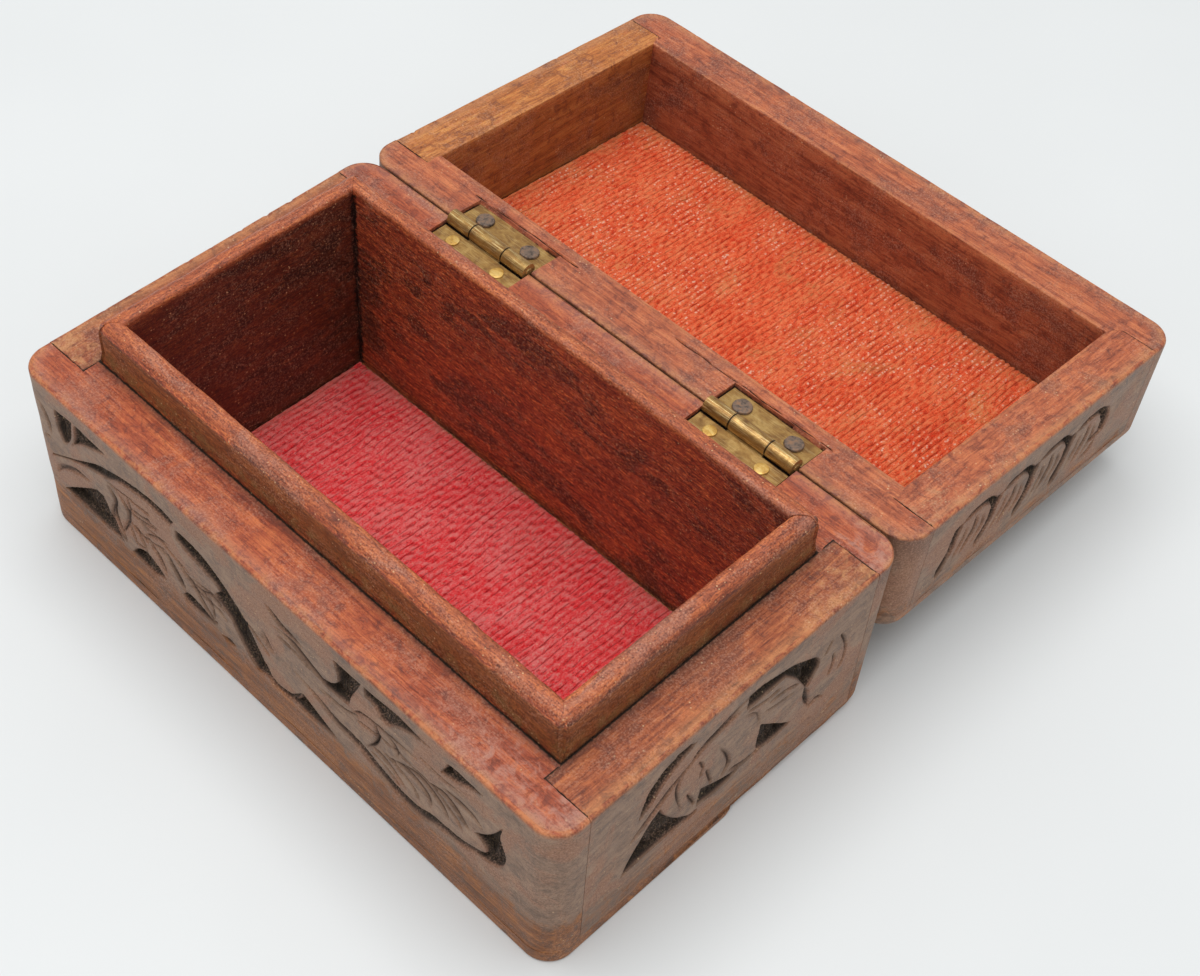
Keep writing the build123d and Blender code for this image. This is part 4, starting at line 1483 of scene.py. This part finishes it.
def build_inside():
    """Liner boards and the two velvets."""
    for side in ("front", "back", "left", "right"):
        # Painted light: the long boards' insides are painted lighter than the end boards'
        along, light = ("x", 1.85) if side in ("front", "back") else ("y", 1.1)
        liner_board(side, liner_mahogany("mahogany_liner_" + side, along, light))
    crimson_tones = (250, 14, 32), (255, 52, 60), (255, 142, 138), (206, 122, 100)
    orange_tones = (222, 38, 16), (255, 88, 46), (255, 150, 102), (218, 156, 98)
    # Last three numbers: painted light and shade on the tufts, painted crest highlights with dust, painted
    # shade between the ribs
    crimson = pile("crimson_pile", *crimson_tones, 0.65, 0.25, 0.6)
    orange = pile("orange_pile", *orange_tones, 0.5, 0.85, 0.4)
    velvet("base_velvet", "base", 1, base_rib_spacing, crimson, "crimson_velvet", 40)
    velvet("lid_velvet", "lid", -1, lid_rib_spacing, orange, "orange_velvet", 60)


def finish_hinges():
    """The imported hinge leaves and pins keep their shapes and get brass; the nails get hammered heads."""
    brass = old_brass("old_brass", (128, 92, 52), (160, 122, 68), (186, 150, 90))
    bright = old_brass("worn_brass", (158, 112, 56), (206, 162, 82), (232, 198, 122))
    iron = old_iron()
    for name, node in frame["nodes"].items():
        if "hinge" in name:
            node.data.materials.clear()
            node.data.materials.append(iron if name == "lid_hinge_nails" else brass)
    nail_heads("base_hinge_nails", "base", bright, "brass", brass_head, 200)
    nail_heads("lid_hinge_nails", "lid", iron, "iron", iron_head, 220)


def nail_heads(node, body, material, slot, head_size, seed):
    """Hammered nails: a flat disc with a rounded edge, a little uneven round the turn, and a plain shank.

    The head's profile goes from the shank out under the head, up its edge and in over the top, in shares of
    radius and rise. Each head is tipped by a small height that follows the cosine of the turn.
    """
    low, high = limits(node)
    radius, rise = head_size
    upwards = 1 if body == "base" else -1
    across = np.sort(mesh_points(node)[:, 0])
    groups = np.split(across, np.where(np.diff(across) > 5)[0] + 1)
    turn = np.linspace(0, math.tau, head_points, endpoint=False)
    out_shares = radius * np.array([0.95, 1, 1, 0.95, 0.85, 0.65, 0.4, 0.15])
    up_shares = rise * np.array([0, 0.15, 0.5, 0.8, 0.92, 0.98, 1, 1])
    reach = np.array([shank_radius, shank_radius, *out_shares])[:, None]
    level = np.array([-shank_length, 0, *up_shares])[:, None]
    head = np.arange(len(reach))[:, None] > 2
    vertices, faces = [], []
    for i, group in enumerate(groups):
        from_centre = reach * (1 + 0.03 * head * wobble(4 * np.cos(turn), 4 * np.sin(turn), 5, seed + i))
        tip = 0.08 * rise * head * np.cos(turn - i * 2.1) * from_centre / radius
        x = (group[0] + group[-1]) / 2 + from_centre * np.cos(turn)
        y = (low[1] + high[1]) / 2 + from_centre * np.sin(turn)
        rings = column(x, y, hinge_z - upwards * leaf_face + upwards * (level + tip))
        faces += [[corner + i * x.size for corner in face] for face in swept_faces(rings)]
        vertices.append(rings.reshape(-1, 3))
    piece(node + "_hammered", np.vstack(vertices), faces, {}, material, body, [node], slot)


# Light and camera

def lay_table():
    """Pale table top that the box stands on."""
    r = table_reach
    mesh = bpy.data.meshes.new("table_top")
    mesh.from_pydata([(-r, -r, 0), (r, -r, 0), (r, r, 0), (-r, r, 0)], [], [(0, 1, 2, 3)])
    mesh.materials.append(pale_table())
    shown("table_top", mesh)


def light_room():
    """One broad soft lamp overhead, and even fill from the room."""
    world = bpy.data.worlds.new("soft_room")
    bpy.context.scene.world = world
    world.use_nodes = True
    background = world.node_tree.nodes["Background"]
    background.inputs["Color"].default_value = room_colour
    background.inputs["Strength"].default_value = room_strength
    lamp = bpy.data.lights.new("soft_lamp", "AREA")
    lamp.shape = "RECTANGLE"
    lamp.size = lamp_size
    lamp.size_y = lamp_size
    lamp.energy = lamp_energy
    lamp_object = shown("soft_lamp", lamp)
    lamp_object.location = lamp_place
    aim = Vector(lamp_target) - Vector(lamp_place)
    lamp_object.rotation_euler = aim.to_track_quat("-Z", "Y").to_euler()


def set_camera():
    """The photograph's camera, and plain Standard colours."""
    forward = Vector(camera_forward).normalized()
    right = forward.cross(Vector(camera_up)).normalized()
    up = right.cross(forward)
    camera = bpy.data.cameras.new("photo_camera")
    camera.sensor_width = sensor_width
    camera.lens = focal_pixels / picture_width * sensor_width
    camera.shift_x = (picture_width / 2 - axis_pixel[0]) / picture_width
    camera.shift_y = (axis_pixel[1] - picture_height / 2) / picture_width
    camera_object = shown("photo_camera", camera)
    turning = Matrix((right, up, -forward)).transposed().to_4x4()
    camera_object.matrix_world = Matrix.Translation(camera_place) @ turning
    bpy.context.scene.camera = camera_object
    bpy.context.scene.view_settings.view_transform = "Standard"


build_walls()
build_inside()
finish_hinges()
lay_table()
light_room()
set_camera()
